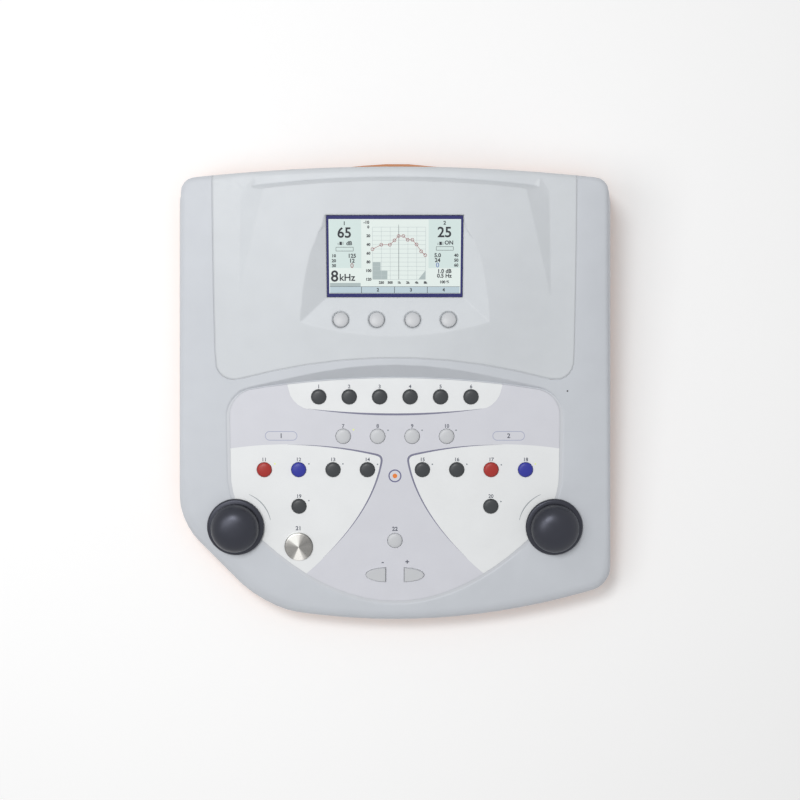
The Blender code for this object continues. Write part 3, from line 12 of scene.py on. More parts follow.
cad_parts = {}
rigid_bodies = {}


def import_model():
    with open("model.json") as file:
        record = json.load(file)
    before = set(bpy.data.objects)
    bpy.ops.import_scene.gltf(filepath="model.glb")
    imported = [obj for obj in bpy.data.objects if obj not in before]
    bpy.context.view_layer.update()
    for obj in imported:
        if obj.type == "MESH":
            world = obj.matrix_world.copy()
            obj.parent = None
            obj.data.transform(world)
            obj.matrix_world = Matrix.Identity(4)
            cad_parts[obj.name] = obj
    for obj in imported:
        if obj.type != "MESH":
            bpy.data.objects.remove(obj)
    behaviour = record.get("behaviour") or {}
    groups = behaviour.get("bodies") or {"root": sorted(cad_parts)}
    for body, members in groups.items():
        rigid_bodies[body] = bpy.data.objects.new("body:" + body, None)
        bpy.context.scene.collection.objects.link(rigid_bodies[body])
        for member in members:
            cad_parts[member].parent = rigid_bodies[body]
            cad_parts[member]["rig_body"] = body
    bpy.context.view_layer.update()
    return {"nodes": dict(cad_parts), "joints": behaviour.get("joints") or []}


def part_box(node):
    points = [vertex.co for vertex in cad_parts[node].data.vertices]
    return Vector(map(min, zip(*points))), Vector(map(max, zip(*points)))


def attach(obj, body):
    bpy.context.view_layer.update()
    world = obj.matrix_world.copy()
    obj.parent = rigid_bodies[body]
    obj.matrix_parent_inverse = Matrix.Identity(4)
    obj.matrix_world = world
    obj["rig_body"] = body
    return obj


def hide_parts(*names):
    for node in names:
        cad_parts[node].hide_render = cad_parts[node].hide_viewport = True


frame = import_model()

MM = 0.001
MICRON = 0.001 * MM
CASE = "case"

# Colours as they look in even light, red, green and blue out of 255
FACE_LAVENDER = (218, 219, 226)
KEY_GREY = (206, 208, 211)
STEEL = (196, 194, 190)
DIAL_SHEEN = (230, 234, 255)
RUBBER_BLACK_AND_HOLE_SHADE = (26, 26, 27)
FLOOR_WHITE = (250, 250, 250)
INK_COLOURS = {
    "ink_line": (126, 126, 148),
    "ink_face": FACE_LAVENDER,
    "ink_arc": (168, 174, 178),
    "ink_pill": (164, 170, 196),
    "ink_ring": (104, 104, 140),
    "ink_orange": (236, 132, 58),
    "ink_dark": (92, 96, 108),
    "lamp_off": (128, 136, 142),
    "lamp_lit": (226, 238, 130),
    "screen_ground": (228, 238, 234),
    "screen_side": (211, 227, 224),
    "screen_bar": (186, 204, 212),
    "screen_shade": (176, 190, 190),
    "screen_grid": (188, 198, 199),
    "screen_dark": (38, 42, 54),
    "screen_red": (138, 34, 44),
    "screen_blue": (60, 88, 170),
}

# Finishes: grains to the metre, their height in microns and the edges' radius in millimetres
Finish = namedtuple(
    "Finish", "colour roughness grains height edge coat metallic", defaults=(0.0, 0.0, 0.0)
)
FINISHES = {
    "case_grey": Finish((207, 211, 217), 0.5, 1700, 20, edge=1.4),
    "cover_grey": Finish((213, 217, 221), 0.45, 2200, 12, edge=1.8),
    "case_orange": Finish((208, 142, 98), 0.5, 1700, 20, edge=0.5),
    # The seam strip fills the gap, and its pale tone is painted highlight over the gap's shade
    "seam_fill_painted_highlight": Finish((204, 208, 213), 0.6, 1700, 10),
    # The bead fills the trough, and its tone, a little paler than the case, is painted highlight
    "bead_fill_painted_highlight": Finish((210, 213, 218), 0.6, 1700, 10),
    "face_lavender": Finish(FACE_LAVENDER, 0.48, 2600, 8),
    "inlay_white": Finish((239, 241, 242), 0.45, 2600, 8),
    "key_black": Finish((56, 59, 62), 0.38, 2400, 4),
    "key_light": Finish(KEY_GREY, 0.38, 2400, 4),
    "key_red": Finish((168, 44, 38), 0.38, 2400, 4),
    "key_blue": Finish((46, 52, 156), 0.38, 2400, 4),
    "key_grey": Finish(KEY_GREY, 0.35, 2400, 4, edge=0.4),
    "dial_black": Finish((22, 23, 28), 0.36, 2600, 6),
    "window_navy": Finish((30, 31, 102), 0.25, 1500, 2, coat=0.2),
    "socket_black": Finish((32, 33, 35), 0.4, 1800, 10, edge=0.2),
    # Painted shade: the microphone hole is a flat black disc, not a cut hole
    "hole_painted_shade": Finish(RUBBER_BLACK_AND_HOLE_SHADE, 0.8, 900, 10),
    "foot_rubber": Finish(RUBBER_BLACK_AND_HOLE_SHADE, 0.75, 1400, 30),
    "board_green": Finish((34, 104, 58), 0.35, 900, 20, coat=0.4),
    "bare_metal": Finish((176, 178, 182), 0.35, 1200, 10, edge=0.2, metallic=1.0),
    "screw_steel": Finish((150, 152, 156), 0.3, 1500, 6, metallic=1.0),
}
INK = Finish(None, 0.5, 1500, 4)
LIT_PIXELS = Finish(None, 0.35, 1500, 2, coat=0.25)
DRESSED_NODES = {
    "case_grey": ["top_shell"],
    "cover_grey": ["rear_cover"],
    "case_orange": ["bottom_shell"],
    "face_lavender": ["control_face"],
    "inlay_white": ["key_strip_inlay", "stimulus_inlay", "masking_inlay"],
    "window_navy": ["display_window"],
    "key_grey": ["frequency_down_key", "frequency_up_key"],
    "socket_black": ["connector_panel", "dc_inlet", "phones_jack_1", "phones_jack_2", "power_switch"],
    "board_green": ["main_board", "keypad_board", "softkey_board"],
    "bare_metal": ["usb_port", "display_module", "left_encoder", "right_encoder"]
    + ["left_dial_shaft", "right_dial_shaft"],
}

# What all the finishes share
PLASTIC_SPECULAR = 0.4
COAT_ROUGHNESS = 0.15
MOTTLE_SHARE = 0.015
MOTTLE_GRAINS = 60
ROUGH_SPREAD = 0.05
ROUGH_GRAINS = 240
NOISE_LOW = 0.3
NOISE_HIGH = 0.7
NOISE_DETAIL = 3.0
GRAIN_DETAIL = 4.0
GRAIN_STRENGTH = 0.5
EDGE_SAMPLES = 6
DIAL_SPECULAR = 0.62
LAMP_GLOW = 0.15
SCREEN_GLOW = 0.56
SHADE_GLOW = 0.5
DARK_GLOW = 0.1
SCREEN_DIM_SHARE = 0.7

# Painted highlights on the spun steel of the large button: how bright its colour is at each share of a
# turn, from the left
STEEL_PAINTED_HIGHLIGHT_SHARES = [(0.0, 0.25), (0.125, 0.25), (0.167, 0.33), (0.2, 0.90), (0.29, 0.95)]
STEEL_PAINTED_HIGHLIGHT_SHARES += [(0.333, 0.50), (0.375, 0.25), (0.458, 0.23), (0.5, 0.23), (0.583, 0.18)]
STEEL_PAINTED_HIGHLIGHT_SHARES += [(0.667, 0.25), (0.708, 0.45), (0.75, 0.85), (0.79, 1.0), (0.875, 1.0)]
STEEL_PAINTED_HIGHLIGHT_SHARES += [(0.917, 0.52), (0.958, 0.34), (1.0, 0.25)]
STEEL_METALLIC = 0.4
STEEL_ANISOTROPY = 0.7
STEEL_ROUGHNESS = (0.26, 0.36)
STEEL_GRAINS = 900
RING_DISTORTION = 0.6
RING_STRENGTH = 0.12
RING_HEIGHT = 0.01 * MM

# Smooth shading: bends past these angles in radians stay sharp, smaller ones only in the zones
SHARP_ANGLE = 0.7
PIECE_SHARP_ANGLE = 0.6
COVER_CORNER_ANGLE = 0.12
SHELL_CORNER_ANGLE = 0.3
TURNED_SHARP_ANGLE = 0.8
HOOD_ZONE = ((-118 * MM, 30 * MM, 45 * MM), (118 * MM, 154 * MM, 90 * MM))
PIT_ZONE = ((-129 * MM, -95 * MM, 25 * MM), (129 * MM, 24 * MM, 90 * MM))
BOW_ZONE = ((0, -52.7 * MM, 40 * MM), 112 * MM)
WELD_REACH = 0.002 * MM
COMPARE_SOCKETS = {"FLOAT": 0, "VECTOR": 4}

# Keys and the large button, with their tops in shares of radius and crown
KEY_RADIUS = 5.4 * MM
KEY_CROWN = 0.9 * MM
KEY_DEPTH = 5.7 * MM
KEY_RISE = 1.8 * MM
KEY_DOME_SHARES = [(0, 0), (0.3, 0.05), (0.55, 0.2), (0.76, 0.45), (0.89, 0.8), (0.96, 1.2), (1, 1.9)]
KEY_STEPS = 40
KEY_CLEARANCE = 8 * MM
BUTTON_CLEARANCE = 13 * MM
BUTTON_RADIUS = 10.2 * MM
BUTTON_RIM = 0.55 * MM
BUTTON_RIM_SHARES = [(0, 0), (0.5, 0), (0.9, 0), (0.95, 0.073), (0.985, 0.364), (1, 1)]
ROUND_STEPS = 96

# Dials, with heights from the foot
DIAL_CAP_RADIUS = 17.6 * MM
DIAL_SKIRT_RADIUS = 20.8 * MM
DIAL_HEIGHT = 17.5 * MM
DOME_BASE = 5.2 * MM
DOME_STEPS = 18
SHOULDER_POWER = 0.8
DIAL_LIP = 0.5 * MM
DIAL_LIP_DROP = 0.8 * MM
GROOVE_INSET = 1.3 * MM
GROOVE_TOP = 3.9 * MM
GROOVE_FLOOR = 2.6 * MM
SKIRT_BEVEL_TOP = 2.3 * MM
SKIRT_BEVEL_FOOT = 1.6 * MM
BORE_RADIUS = 3.4 * MM
BORE_DEPTH = 11.8 * MM

# Feet and screws, in shares of their radius and depth or in metres
FOOT_SHARES = [(0, 1), (1, 1), (1, 0.35), (0.97, 0.12), (0.9, 0), (0.35, 0), (0.3, 0.1), (0, 0.1)]
FOOT_STEPS = 48
SCREW_SHANK_RADIUS = 1.5 * MM
SCREW_HEAD_DEPTH = 1.8 * MM
SCREW_RIM = 0.5 * MM
SCREW_BEVEL = 0.1 * MM
SCREW_BEVEL_SHARE = 0.9
SCREW_FLAT_SHARE = 0.7
SCREW_STEPS = 32
RECESS_BAR = (3 * MM, 0.6 * MM, 1.6 * MM)

# Strips in the seams
SEAM_WIDTH = 0.3 * MM
SEAM_REACH_SHARE = 1.1
COVER_SEAM_WIDTH = 0.4 * MM
COVER_SEAM_DEPTH = 0.12 * MM
PIT_DEPTH = 1.3 * MM
BEAD_RISE = 0.5 * MM
BEAD_INSET = 0.16 * MM
LEVEL_SHARE = 0.99
COVER_RIM_SHARES = (0.5, -0.1, 0.1)
PIT_RIM_SHARES = (0.999, 0.3, 0.95)

# Print on the control panel: across it, and up it from its own origin
PRINT_LIFT = 0.02 * MM
STORE_KEY_Y = -110.0 * MM
STRIP_HALF = 63 * MM
STRIP_Y = -16.8 * MM
STRIP_BOW = 948 * MM
STRIP_STEPS = 40
STRIP_LINE_WIDTHS = (1.5 * MM, 0.1 * MM)
WEDGE_OUTER_X = 78 * MM
WEDGE_TIP_X = 9.0 * MM
WEDGE_TOP_Y = -39 * MM
WEDGE_TIP_Y = -47.35 * MM
WEDGE_TOP_BOW = 570 * MM
WEDGE_DEPTH = 76 * MM
WEDGE_SLOPE = 0.135
WEDGE_INNER_BOW = 171.233 * MM
WEDGE_STEPS = 30
CORNER_REACH = 4.4 * MM
CORNER_RISE = 0.95 * MM
CORNER_LEAN = 0.75 * MM
CORNER_STEPS = 8
WEDGE_LINE_WIDTH = 1.6 * MM
WEDGE_LINE_LOSS = 1.54 * MM
FADE_POWER = 1.1
TIP_SPREAD = 0.5 * MM
ARC_START = math.radians(11)
ARC_SWEEP = math.radians(56)
ARC_RADIUS = 25.8 * MM
ARC_STEPS = 24
ARC_WIDTHS = (0.8 * MM, 0.35 * MM)
CHANNEL_X = 82.5 * MM
PILL_Y = -32.5 * MM
PILL_LENGTH = 23 * MM
PILL_HEIGHT = 6.4 * MM
PILL_LINE = 0.4 * MM
PILL_STEPS = 12
RESPONSE_Y = -62 * MM
RESPONSE_RADIUS = 4.3 * MM
RESPONSE_LINE = 0.9 * MM
RESPONSE_SPOT = 1.7 * MM
LAMP_RADIUS = 0.55 * MM
LIT_LAMP_RADIUS = 0.6 * MM
LAMP_STEPS = 16
MICROPHONE_PLACE = (124.6 * MM, 0.1 * MM)
MICROPHONE_RADIUS = 0.6 * MM
SPOT_STEPS = 24
FONT_STEPS = 3
ABOVE_ALL = 1.0

# Numbers on the panel: their size and weight, and where they are
LABEL = (3.7 * MM, 0.09 * MM)
BIG_LABEL = (4.2 * MM, 0.14 * MM)
SIGN_LABEL = (5.2 * MM, 0.16 * MM)
CHANNEL_LABEL = (4.8 * MM, 0.1 * MM)
LABEL_RISE = 7.4 * MM
BUTTON_LABEL_RISE = 13.6 * MM
STORE_LABEL_Y = -101.5 * MM
SIGN_X = 9 * MM
SIGN_Y = -126.2 * MM
CHANNEL_Y = -32.6 * MM

# The display: its places are in pixels of its panel, its line widths in metres
COLUMNS = 480
ROWS = 272
PIXEL = 93.5 * MM / COLUMNS
PLOT_LEFT = 159
PLOT_RIGHT = 352
PLOT_TOP = 29
PLOT_BOTTOM = 220
PLOT_COLUMN_STEP = 32.2
PLOT_ROW_STEP = 15.92
SCALE_ROW_STEP = 31.85
GRID_LINE = 0.24 * MM
CURVE_LINE = 0.3 * MM
AXIS_LINE = 0.2 * MM
BAR_LINE = 0.22 * MM
TAB_LINE = 0.35 * MM
FRAME_LINE = 0.28 * MM
CIRCLE_LINE = 0.34 * MM
CIRCLE_RADIUS = 1.05 * MM
CIRCLE_STEPS = 20
TEXT_SHARE = 1.55
TEXT_WEIGHT = 0.12 * MM
BIG_TEXT_WEIGHT = 0.2 * MM
BIG_TEXT_HEIGHT = 30
LAYERS = ("ground", "patches", "grid", "print", "curve")
LAYER_STEP = 0.012 * MM

# Floor, light and camera
FLOOR_REACH = 4.0
FLOOR_ROUGHNESS = 0.9
FLOOR_GLOW = 0.13
WORLD_LEVEL = 0.44
KEY_LIGHT = ((-0.3, 0.42, 1.45), 0.35, 6.8)
LEFT_LIGHT = ((-0.48, -0.02, 0.95), 0.5, 2.3)
AIM = (0, 0, 0.04)
CAMERA_PLACE = (3.7 * MM, -6.4 * MM, 1.064)
SHARP_HEIGHT = 0.014
PHOTO_PIXEL = 0.7492 * MM
PHOTO_WIDTH = 800
SENSOR_WIDTH = 36
CLIP_START = 0.05
CLIP_END = 20


# Small helpers


def linear(colour):
    """An sRGB colour out of 255 as the linear values that the shaders take."""
    shares = [channel / 255 for channel in colour]
    return [s / 12.92 if s <= 0.04045 else ((s + 0.055) / 1.055) ** 2.4 for s in shares]


def numbered(stem, count):
    return [f"{stem}_{i}" for i in range(1, count + 1)]


def even_shares(steps):
    """Even steps from 0 to 1, with both ends."""
    return [i / steps for i in range(steps + 1)]


def mesh_of(name, builder):
    """The mesh that a builder holds, which ends the builder."""
    mesh = bpy.data.meshes.new(name)
    builder.to_mesh(mesh)
    builder.free()
    return mesh


def new_object(name, data):
    thing = bpy.data.objects.new(name, data)
    bpy.context.scene.collection.objects.link(thing)
    return thing


def new_piece(name, builder, material, body=CASE, place=None):
    """A piece of the object that rides on a body, made from a mesh builder."""
    thing = new_object(name, mesh_of(name, builder))
    if place is not None:
        thing.matrix_world = place
    thing.data.materials.append(material)
    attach(thing, body)
    return thing


def normal_frame(origin, normal):
    """A frame at a point with its third axis along a normal that leans front to back."""
    across = Vector((1, 0, 0))
    up = normal.cross(across).normalized()
    across = up.cross(normal).normalized()
    turn = Matrix((across, up, normal)).transposed().to_4x4()
    return Matrix.Translation(origin) @ turn


# Materials


def shader_of(material):
    return material.node_tree.nodes["Principled BSDF"]


def add_node(material, kind, **settings):
    node = material.node_tree.nodes.new(kind)
    for name, value in settings.items():
        setattr(node, name, value)
    return node


def link(material, source, target):
    material.node_tree.links.new(source, target)


def fill(node, **values):
    """Sets a node's plain values, each by its socket's name with a line for every space."""
    for name, value in values.items():
        node.inputs[name.replace("_", " ")].default_value = value


def noise(material, scale, detail=NOISE_DETAIL):
    """Noise in the object's own metres, with the given number of grains to the metre."""
    place = add_node(material, "ShaderNodeTexCoord")
    grain = add_node(material, "ShaderNodeTexNoise")
    fill(grain, Scale=scale, Detail=detail)
    link(material, place.outputs["Object"], grain.inputs["Vector"])
    return grain.outputs["Fac"]


def spread(material, value, low, high):
    """The usual reach of a noise, stretched from low to high."""
    node = add_node(material, "ShaderNodeMapRange")
    fill(node, From_Min=NOISE_LOW, From_Max=NOISE_HIGH, To_Min=low, To_Max=high)
    link(material, value, node.inputs["Value"])
    return node.outputs["Result"]


def mottle(material, colour):
    """The colour, a little lighter and darker in patches."""
    mix = add_node(material, "ShaderNodeMix", data_type="RGBA")
    tone = linear(colour)
    darker = [*(c * (1 - MOTTLE_SHARE) for c in tone), 1]
    fill(mix, A=darker, B=[*(min(1, c * (1 + MOTTLE_SHARE)) for c in tone), 1])
    link(material, spread(material, noise(material, MOTTLE_GRAINS), 0, 1), mix.inputs["Factor"])
    link(material, mix.outputs["Result"], shader_of(material).inputs["Base Color"])


def grain_and_edges(material, look):
    """A fine moulded grain, with the edges softened by a small radius."""
    bump = add_node(material, "ShaderNodeBump")
    fill(bump, Strength=GRAIN_STRENGTH, Distance=look.height * MICRON)
    link(material, noise(material, look.grains, GRAIN_DETAIL), bump.inputs["Height"])
    if look.edge:
        edge = add_node(material, "ShaderNodeBevel", samples=EDGE_SAMPLES)
        fill(edge, Radius=look.edge * MM)
        link(material, edge.outputs["Normal"], bump.inputs["Normal"])
    link(material, bump.outputs["Normal"], shader_of(material).inputs["Normal"])


def blank_material(name):
    material = bpy.data.materials.new(name)
    material.use_nodes = True
    return material, shader_of(material)


def new_material(name, look=None):
    """A plastic, ink or metal with its own grain, as the table of finishes or a given look says."""
    look = look or FINISHES[name]
    material, shader = blank_material(name)
    fill(shader, Specular_IOR_Level=PLASTIC_SPECULAR, Metallic=look.metallic)
    fill(shader, Coat_Weight=look.coat, Coat_Roughness=COAT_ROUGHNESS)
    mottle(material, look.colour)
    limits = (look.roughness - ROUGH_SPREAD, look.roughness + ROUGH_SPREAD)
    rough = spread(material, noise(material, ROUGH_GRAINS), *limits)
    link(material, rough, shader.inputs["Roughness"])
    grain_and_edges(material, look)
    return material


def steel_tones(material):
    """Painted highlights: the spun steel's colour, brighter in two wedges round its middle, as a
    colour ramp.
    """
    round_turn = add_node(material, "ShaderNodeTexGradient", gradient_type="RADIAL")
    origin = add_node(material, "ShaderNodeTexCoord")
    link(material, origin.outputs["Object"], round_turn.inputs["Vector"])
    highlight_ramp = add_node(material, "ShaderNodeValToRGB")
    ramp = highlight_ramp.color_ramp
    ramp.interpolation = "EASE"
    ramp.elements.remove(ramp.elements[-1])
    warm = linear(STEEL)
    for i, (place, tone) in enumerate(STEEL_PAINTED_HIGHLIGHT_SHARES):
        stop = ramp.elements[0] if i == 0 else ramp.elements.new(place)
        stop.position = place
        stop.color = [*(min(1, c * tone / warm[1]) for c in warm), 1]
    link(material, round_turn.outputs["Fac"], highlight_ramp.inputs["Fac"])
    return highlight_ramp.outputs["Color"]


def spun_steel(name):
    """Steel turned on a lathe, with fine rings and radial anisotropy, and two opposite highlight
    wedges painted into its colour.
    """
    material, shader = blank_material(name)
    fill(shader, Metallic=STEEL_METALLIC, Anisotropic=STEEL_ANISOTROPY)
    # Painted highlights: the bright wedges come from this colour ramp, not from reflection
    link(material, steel_tones(material), shader.inputs["Base Color"])
    rough = spread(material, noise(material, STEEL_GRAINS), *STEEL_ROUGHNESS)
    link(material, rough, shader.inputs["Roughness"])
    tangent = add_node(material, "ShaderNodeTangent", direction_type="RADIAL", axis="Z")
    link(material, tangent.outputs["Tangent"], shader.inputs["Tangent"])
    place = add_node(material, "ShaderNodeTexCoord")
    rings = add_node(material, "ShaderNodeTexWave", wave_type="RINGS", rings_direction="Z")
    fill(rings, Scale=STEEL_GRAINS, Distortion=RING_DISTORTION)
    link(material, place.outputs["Object"], rings.inputs["Vector"])
    bump = add_node(material, "ShaderNodeBump")
    fill(bump, Strength=RING_STRENGTH, Distance=RING_HEIGHT)
    link(material, rings.outputs["Fac"], bump.inputs["Height"])
    link(material, bump.outputs["Normal"], shader.inputs["Normal"])
    return material


def ink(name):
    return new_material(name, INK._replace(colour=INK_COLOURS[name]))


def light_up(material, glow):
    """Makes an ink shine in its own colour."""
    colour = [*linear(INK_COLOURS[material.name]), 1]
    fill(shader_of(material), Emission_Color=colour, Emission_Strength=glow)
    return material


def screen_ink(name, glow=SCREEN_GLOW):
    """A colour of the lit display, seen through its glossy window."""
    dim = [channel * SCREEN_DIM_SHARE for channel in INK_COLOURS[name]]
    return light_up(new_material(name, LIT_PIXELS._replace(colour=dim)), glow)


# Finish and smooth shading of the CAD solids


def smooth(names, angle, corner_angle=None, box=None, ball=None):
    """Shades nodes smooth, but for edges past an angle, and past a smaller one in two zones."""
    group = bpy.data.node_groups.new(names[0] + "_smoothing", "GeometryNodeTree")
    for way in ("INPUT", "OUTPUT"):
        group.interface.new_socket("Geometry", in_out=way, socket_type="NodeSocketGeometry")
    start = group.nodes.new("NodeGroupInput")
    weld = mesh_step(group, "GeometryNodeMergeByDistance", start, Distance=WELD_REACH)
    faces = mesh_step(group, "GeometryNodeSetShadeSmooth", weld)
    faces.domain = "FACE"
    edges = mesh_step(group, "GeometryNodeSetShadeSmooth", faces, Shade_Smooth=False)
    edges.domain = "EDGE"
    bend = group.nodes.new("GeometryNodeInputMeshEdgeAngle").outputs["Unsigned Angle"]
    sharp = compare(group, bend, "GREATER_THAN", angle)
    if corner_angle is not None:
        bent = compare(group, bend, "GREATER_THAN", corner_angle)
        place = group.nodes.new("GeometryNodeInputPosition").outputs["Position"]
        zones = [box_zone(group, place, *box)]
        if ball is not None:
            zones.append(ball_zone(group, place, *ball))
        for zone in zones:
            sharp = logic(group, "OR", sharp, logic(group, "AND", bent, zone))
    group.links.new(sharp, edges.inputs["Selection"])
    mesh_step(group, "NodeGroupOutput", edges)
    for name in names:
        frame["nodes"][name].modifiers.new("smoothing", "NODES").node_group = group


def mesh_step(group, kind, before, **values):
    """A node that takes its geometry from the one before."""
    node = group.nodes.new(kind)
    group.links.new(before.outputs["Geometry"], node.inputs["Geometry"])
    fill(node, **values)
    return node


def box_zone(group, place, low, high):
    above = compare(group, place, "GREATER_THAN", low, "VECTOR")
    below = compare(group, place, "LESS_THAN", high, "VECTOR")
    return logic(group, "AND", above, below)


def ball_zone(group, place, centre, radius):
    reach = group.nodes.new("ShaderNodeVectorMath")
    reach.operation = "DISTANCE"
    group.links.new(place, reach.inputs[0])
    reach.inputs[1].default_value = centre
    return compare(group, reach.outputs["Value"], "LESS_THAN", radius)


def compare(group, value, operation, limit, kind="FLOAT"):
    """True where a number, or each number of a vector, is past a limit."""
    node = group.nodes.new("FunctionNodeCompare")
    node.data_type = kind
    node.operation = operation
    first = COMPARE_SOCKETS[kind]
    group.links.new(value, node.inputs[first])
    node.inputs[first + 1].default_value = limit
    return node.outputs["Result"]


def logic(group, operation, first, second):
    node = group.nodes.new("FunctionNodeBooleanMath")
    node.operation = operation
    group.links.new(first, node.inputs[0])
    group.links.new(second, node.inputs[1])
    return node.outputs["Boolean"]


def dress_cad_nodes():
    """Gives every CAD node that stays its finish."""
    for finish, nodes in DRESSED_NODES.items():
        material = new_material(finish)
        for name in nodes:
            mesh = frame["nodes"][name].data
            mesh.materials.clear()
            mesh.materials.append(material)


def smooth_cad_nodes():
    smooth(["rear_cover"], SHARP_ANGLE, COVER_CORNER_ANGLE, HOOD_ZONE)
    smooth(["top_shell"], SHARP_ANGLE, SHELL_CORNER_ANGLE, PIT_ZONE, BOW_ZONE)
    smooth(["bottom_shell"], SHARP_ANGLE)
    small = ["dc_inlet", "phones_jack_1", "phones_jack_2", "left_dial_shaft", "right_dial_shaft"]
    smooth(small + DRESSED_NODES["key_grey"], PIECE_SHARP_ANGLE)


# Turned pieces: keys, dials, feet and screws


def circle(x, y, radius, steps):
    turns = [math.tau * i / steps for i in range(steps)]
    return [(x + radius * math.cos(t), y + radius * math.sin(t)) for t in turns]


def lathe(profile, steps):
    """A mesh builder holding a profile of radius and height, turned about the third axis."""
    builder = bmesh.new()
    rings = []
    for radius, height in profile:
        spots = circle(0, 0, radius, steps) if radius else [(0, 0)]
        rings.append([builder.verts.new((*spot, height)) for spot in spots])
    for upper, lower in zip(rings, rings[1:]):
        for i in range(steps):
            corners = [upper[i % len(upper)], lower[i % len(lower)]]
            after = (i + 1) % steps
            corners += [lower[after % len(lower)], upper[after % len(upper)]]
            builder.faces.new(list(dict.fromkeys(corners)))
    bmesh.ops.recalc_face_normals(builder, faces=builder.faces)
    for face in builder.faces:
        face.smooth = True
    return builder


def body_of(node):
    return frame["nodes"][node]["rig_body"]


def top_frame(node):
    """A frame at the top of a key or dial, with its third axis pointing out of it."""
    joint = next(joint for joint in frame["joints"] if joint["child"] == body_of(node))
    normal = Vector(joint["axis"]).normalized()
    if joint["type"] == "slide":
        normal = -normal
    top = max((v.co for v in frame["nodes"][node].data.vertices), key=normal.dot)
    return normal_frame(top, normal)


def add_cap(name, node, profile, steps, material):
    """A turned piece that stands for a node, with its top at the node's own top."""
    cap = new_piece(name, lathe(profile, steps), material, body_of(node), top_frame(node))
    cap.data.set_sharp_from_angle(angle=TURNED_SHARP_ANGLE)
    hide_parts(node)


def stem_profile(radius, crown, shares):
    """A key or button from its top down to its foot, from the shares that shape its top."""
    profile = [(radius * out, -crown * down) for out, down in shares]
    return profile + [(radius, -KEY_DEPTH), (0, -KEY_DEPTH)]


def key_finishes():
    """The finish of every round key."""
    light = numbered("softkey", 4) + ["store_key"] + numbered("mode_key", 4)
    black = numbered("function_key", 6) + ["hook_key", "enable_key"]
    finishes = dict.fromkeys(light, "key_light") | dict.fromkeys(black, "key_black")
    for side, third, fourth in (("stimulus", "blue", "red"), ("masking", "red", "blue")):
        colours = ("black", "black", third, fourth)
        for name, colour in zip(numbered(side + "_key", 4), colours):
            finishes[name] = "key_" + colour
    return finishes


def add_keys():
    finishes = key_finishes()
    materials = {finish: new_material(finish) for finish in sorted(set(finishes.values()))}
    profile = stem_profile(KEY_RADIUS, KEY_CROWN, KEY_DOME_SHARES)
    for node, finish in finishes.items():
        add_cap(node + "_cap", node, profile, KEY_STEPS, materials[finish])


def add_interrupter():
    profile = stem_profile(BUTTON_RADIUS, BUTTON_RIM, BUTTON_RIM_SHARES)
    name = "button_steel"
    steel = spun_steel(name)
    add_cap("interrupter_cap", "interrupter_button", profile, ROUND_STEPS, steel)


def dial_profile():
    """A dome with full shoulders over a skirt, with a groove between them and a bore below."""
    profile = []
    for share in even_shares(DOME_STEPS):
        turn = math.pi / 2 * share
        out = DIAL_CAP_RADIUS * math.sin(turn) ** SHOULDER_POWER
        rise = (DIAL_HEIGHT - DOME_BASE) * math.cos(turn) ** SHOULDER_POWER
        profile.append((out, DOME_BASE + rise))
    neck = DIAL_CAP_RADIUS - GROOVE_INSET
    profile += [(DIAL_CAP_RADIUS - DIAL_LIP, DOME_BASE - DIAL_LIP_DROP), (neck, GROOVE_TOP)]
    profile += [(neck, GROOVE_FLOOR), (DIAL_SKIRT_RADIUS - GROOVE_INSET, GROOVE_FLOOR)]
    profile += [(DIAL_SKIRT_RADIUS - DIAL_LIP, SKIRT_BEVEL_TOP)]
    profile += [(DIAL_SKIRT_RADIUS, SKIRT_BEVEL_FOOT), (DIAL_SKIRT_RADIUS, 0)]
    profile += [(BORE_RADIUS, 0), (BORE_RADIUS, BORE_DEPTH), (0, BORE_DEPTH)]
    return [(out, height - DIAL_HEIGHT) for out, height in profile]


def add_dials():
    """Satin dials, whose sheen is a little blue."""
    material = new_material("dial_black")
    sheen = [*linear(DIAL_SHEEN), 1]
    fill(shader_of(material), Specular_IOR_Level=DIAL_SPECULAR, Specular_Tint=sheen)
    for node in ("left_dial", "right_dial"):
        add_cap(node + "_cap", node, dial_profile(), ROUND_STEPS, material)


def standing_place(node):
    """A frame at the middle of a node's underside, and the node's radius and height."""
    low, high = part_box(node)
    middle = (low + high) / 2
    place = Matrix.Translation((middle.x, middle.y, low.z))
    return place, (high.x - low.x) / 2, high.z - low.z


def add_feet():
    rubber = new_material("foot_rubber")
    for node in numbered("foot", 4):
        place, radius, depth = standing_place(node)
        profile = [(radius * out, depth * up) for out, up in FOOT_SHARES]
        piece = new_piece(node + "_pad", lathe(profile, FOOT_STEPS), rubber, CASE, place)
        piece.data.set_sharp_from_angle(angle=PIECE_SHARP_ANGLE)
        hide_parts(node)


def screw_profile(head, length):
    """A screw with a countersunk head, from the end of its shank to the flat of its head."""
    profile = [(0, length), (SCREW_SHANK_RADIUS, length), (SCREW_SHANK_RADIUS, SCREW_HEAD_DEPTH)]
    profile += [(head, SCREW_HEAD_DEPTH), (head, SCREW_RIM), (head * SCREW_BEVEL_SHARE, SCREW_BEVEL)]
    return profile + [(head * SCREW_FLAT_SHARE, 0), (0, 0)]


def cut_cross_recess(piece, name, place):
    recess = bmesh.new()
    for turn in (0, math.pi / 2):
        bar = Matrix.Rotation(turn, 4, "Z") @ Matrix.Diagonal((*RECESS_BAR, 1))
        bmesh.ops.create_cube(recess, size=1, matrix=bar)
    cutter = new_object(name, mesh_of(name, recess))
    cutter.matrix_world = place
    step = piece.modifiers.new("recess", "BOOLEAN")
    step.operation = "DIFFERENCE"
    step.solver = "EXACT"
    step.use_self = True
    step.object = cutter
    mesh = evaluated_mesh(piece)
    piece.modifiers.clear()
    piece.data = mesh
    bpy.data.objects.remove(cutter, do_unlink=True)


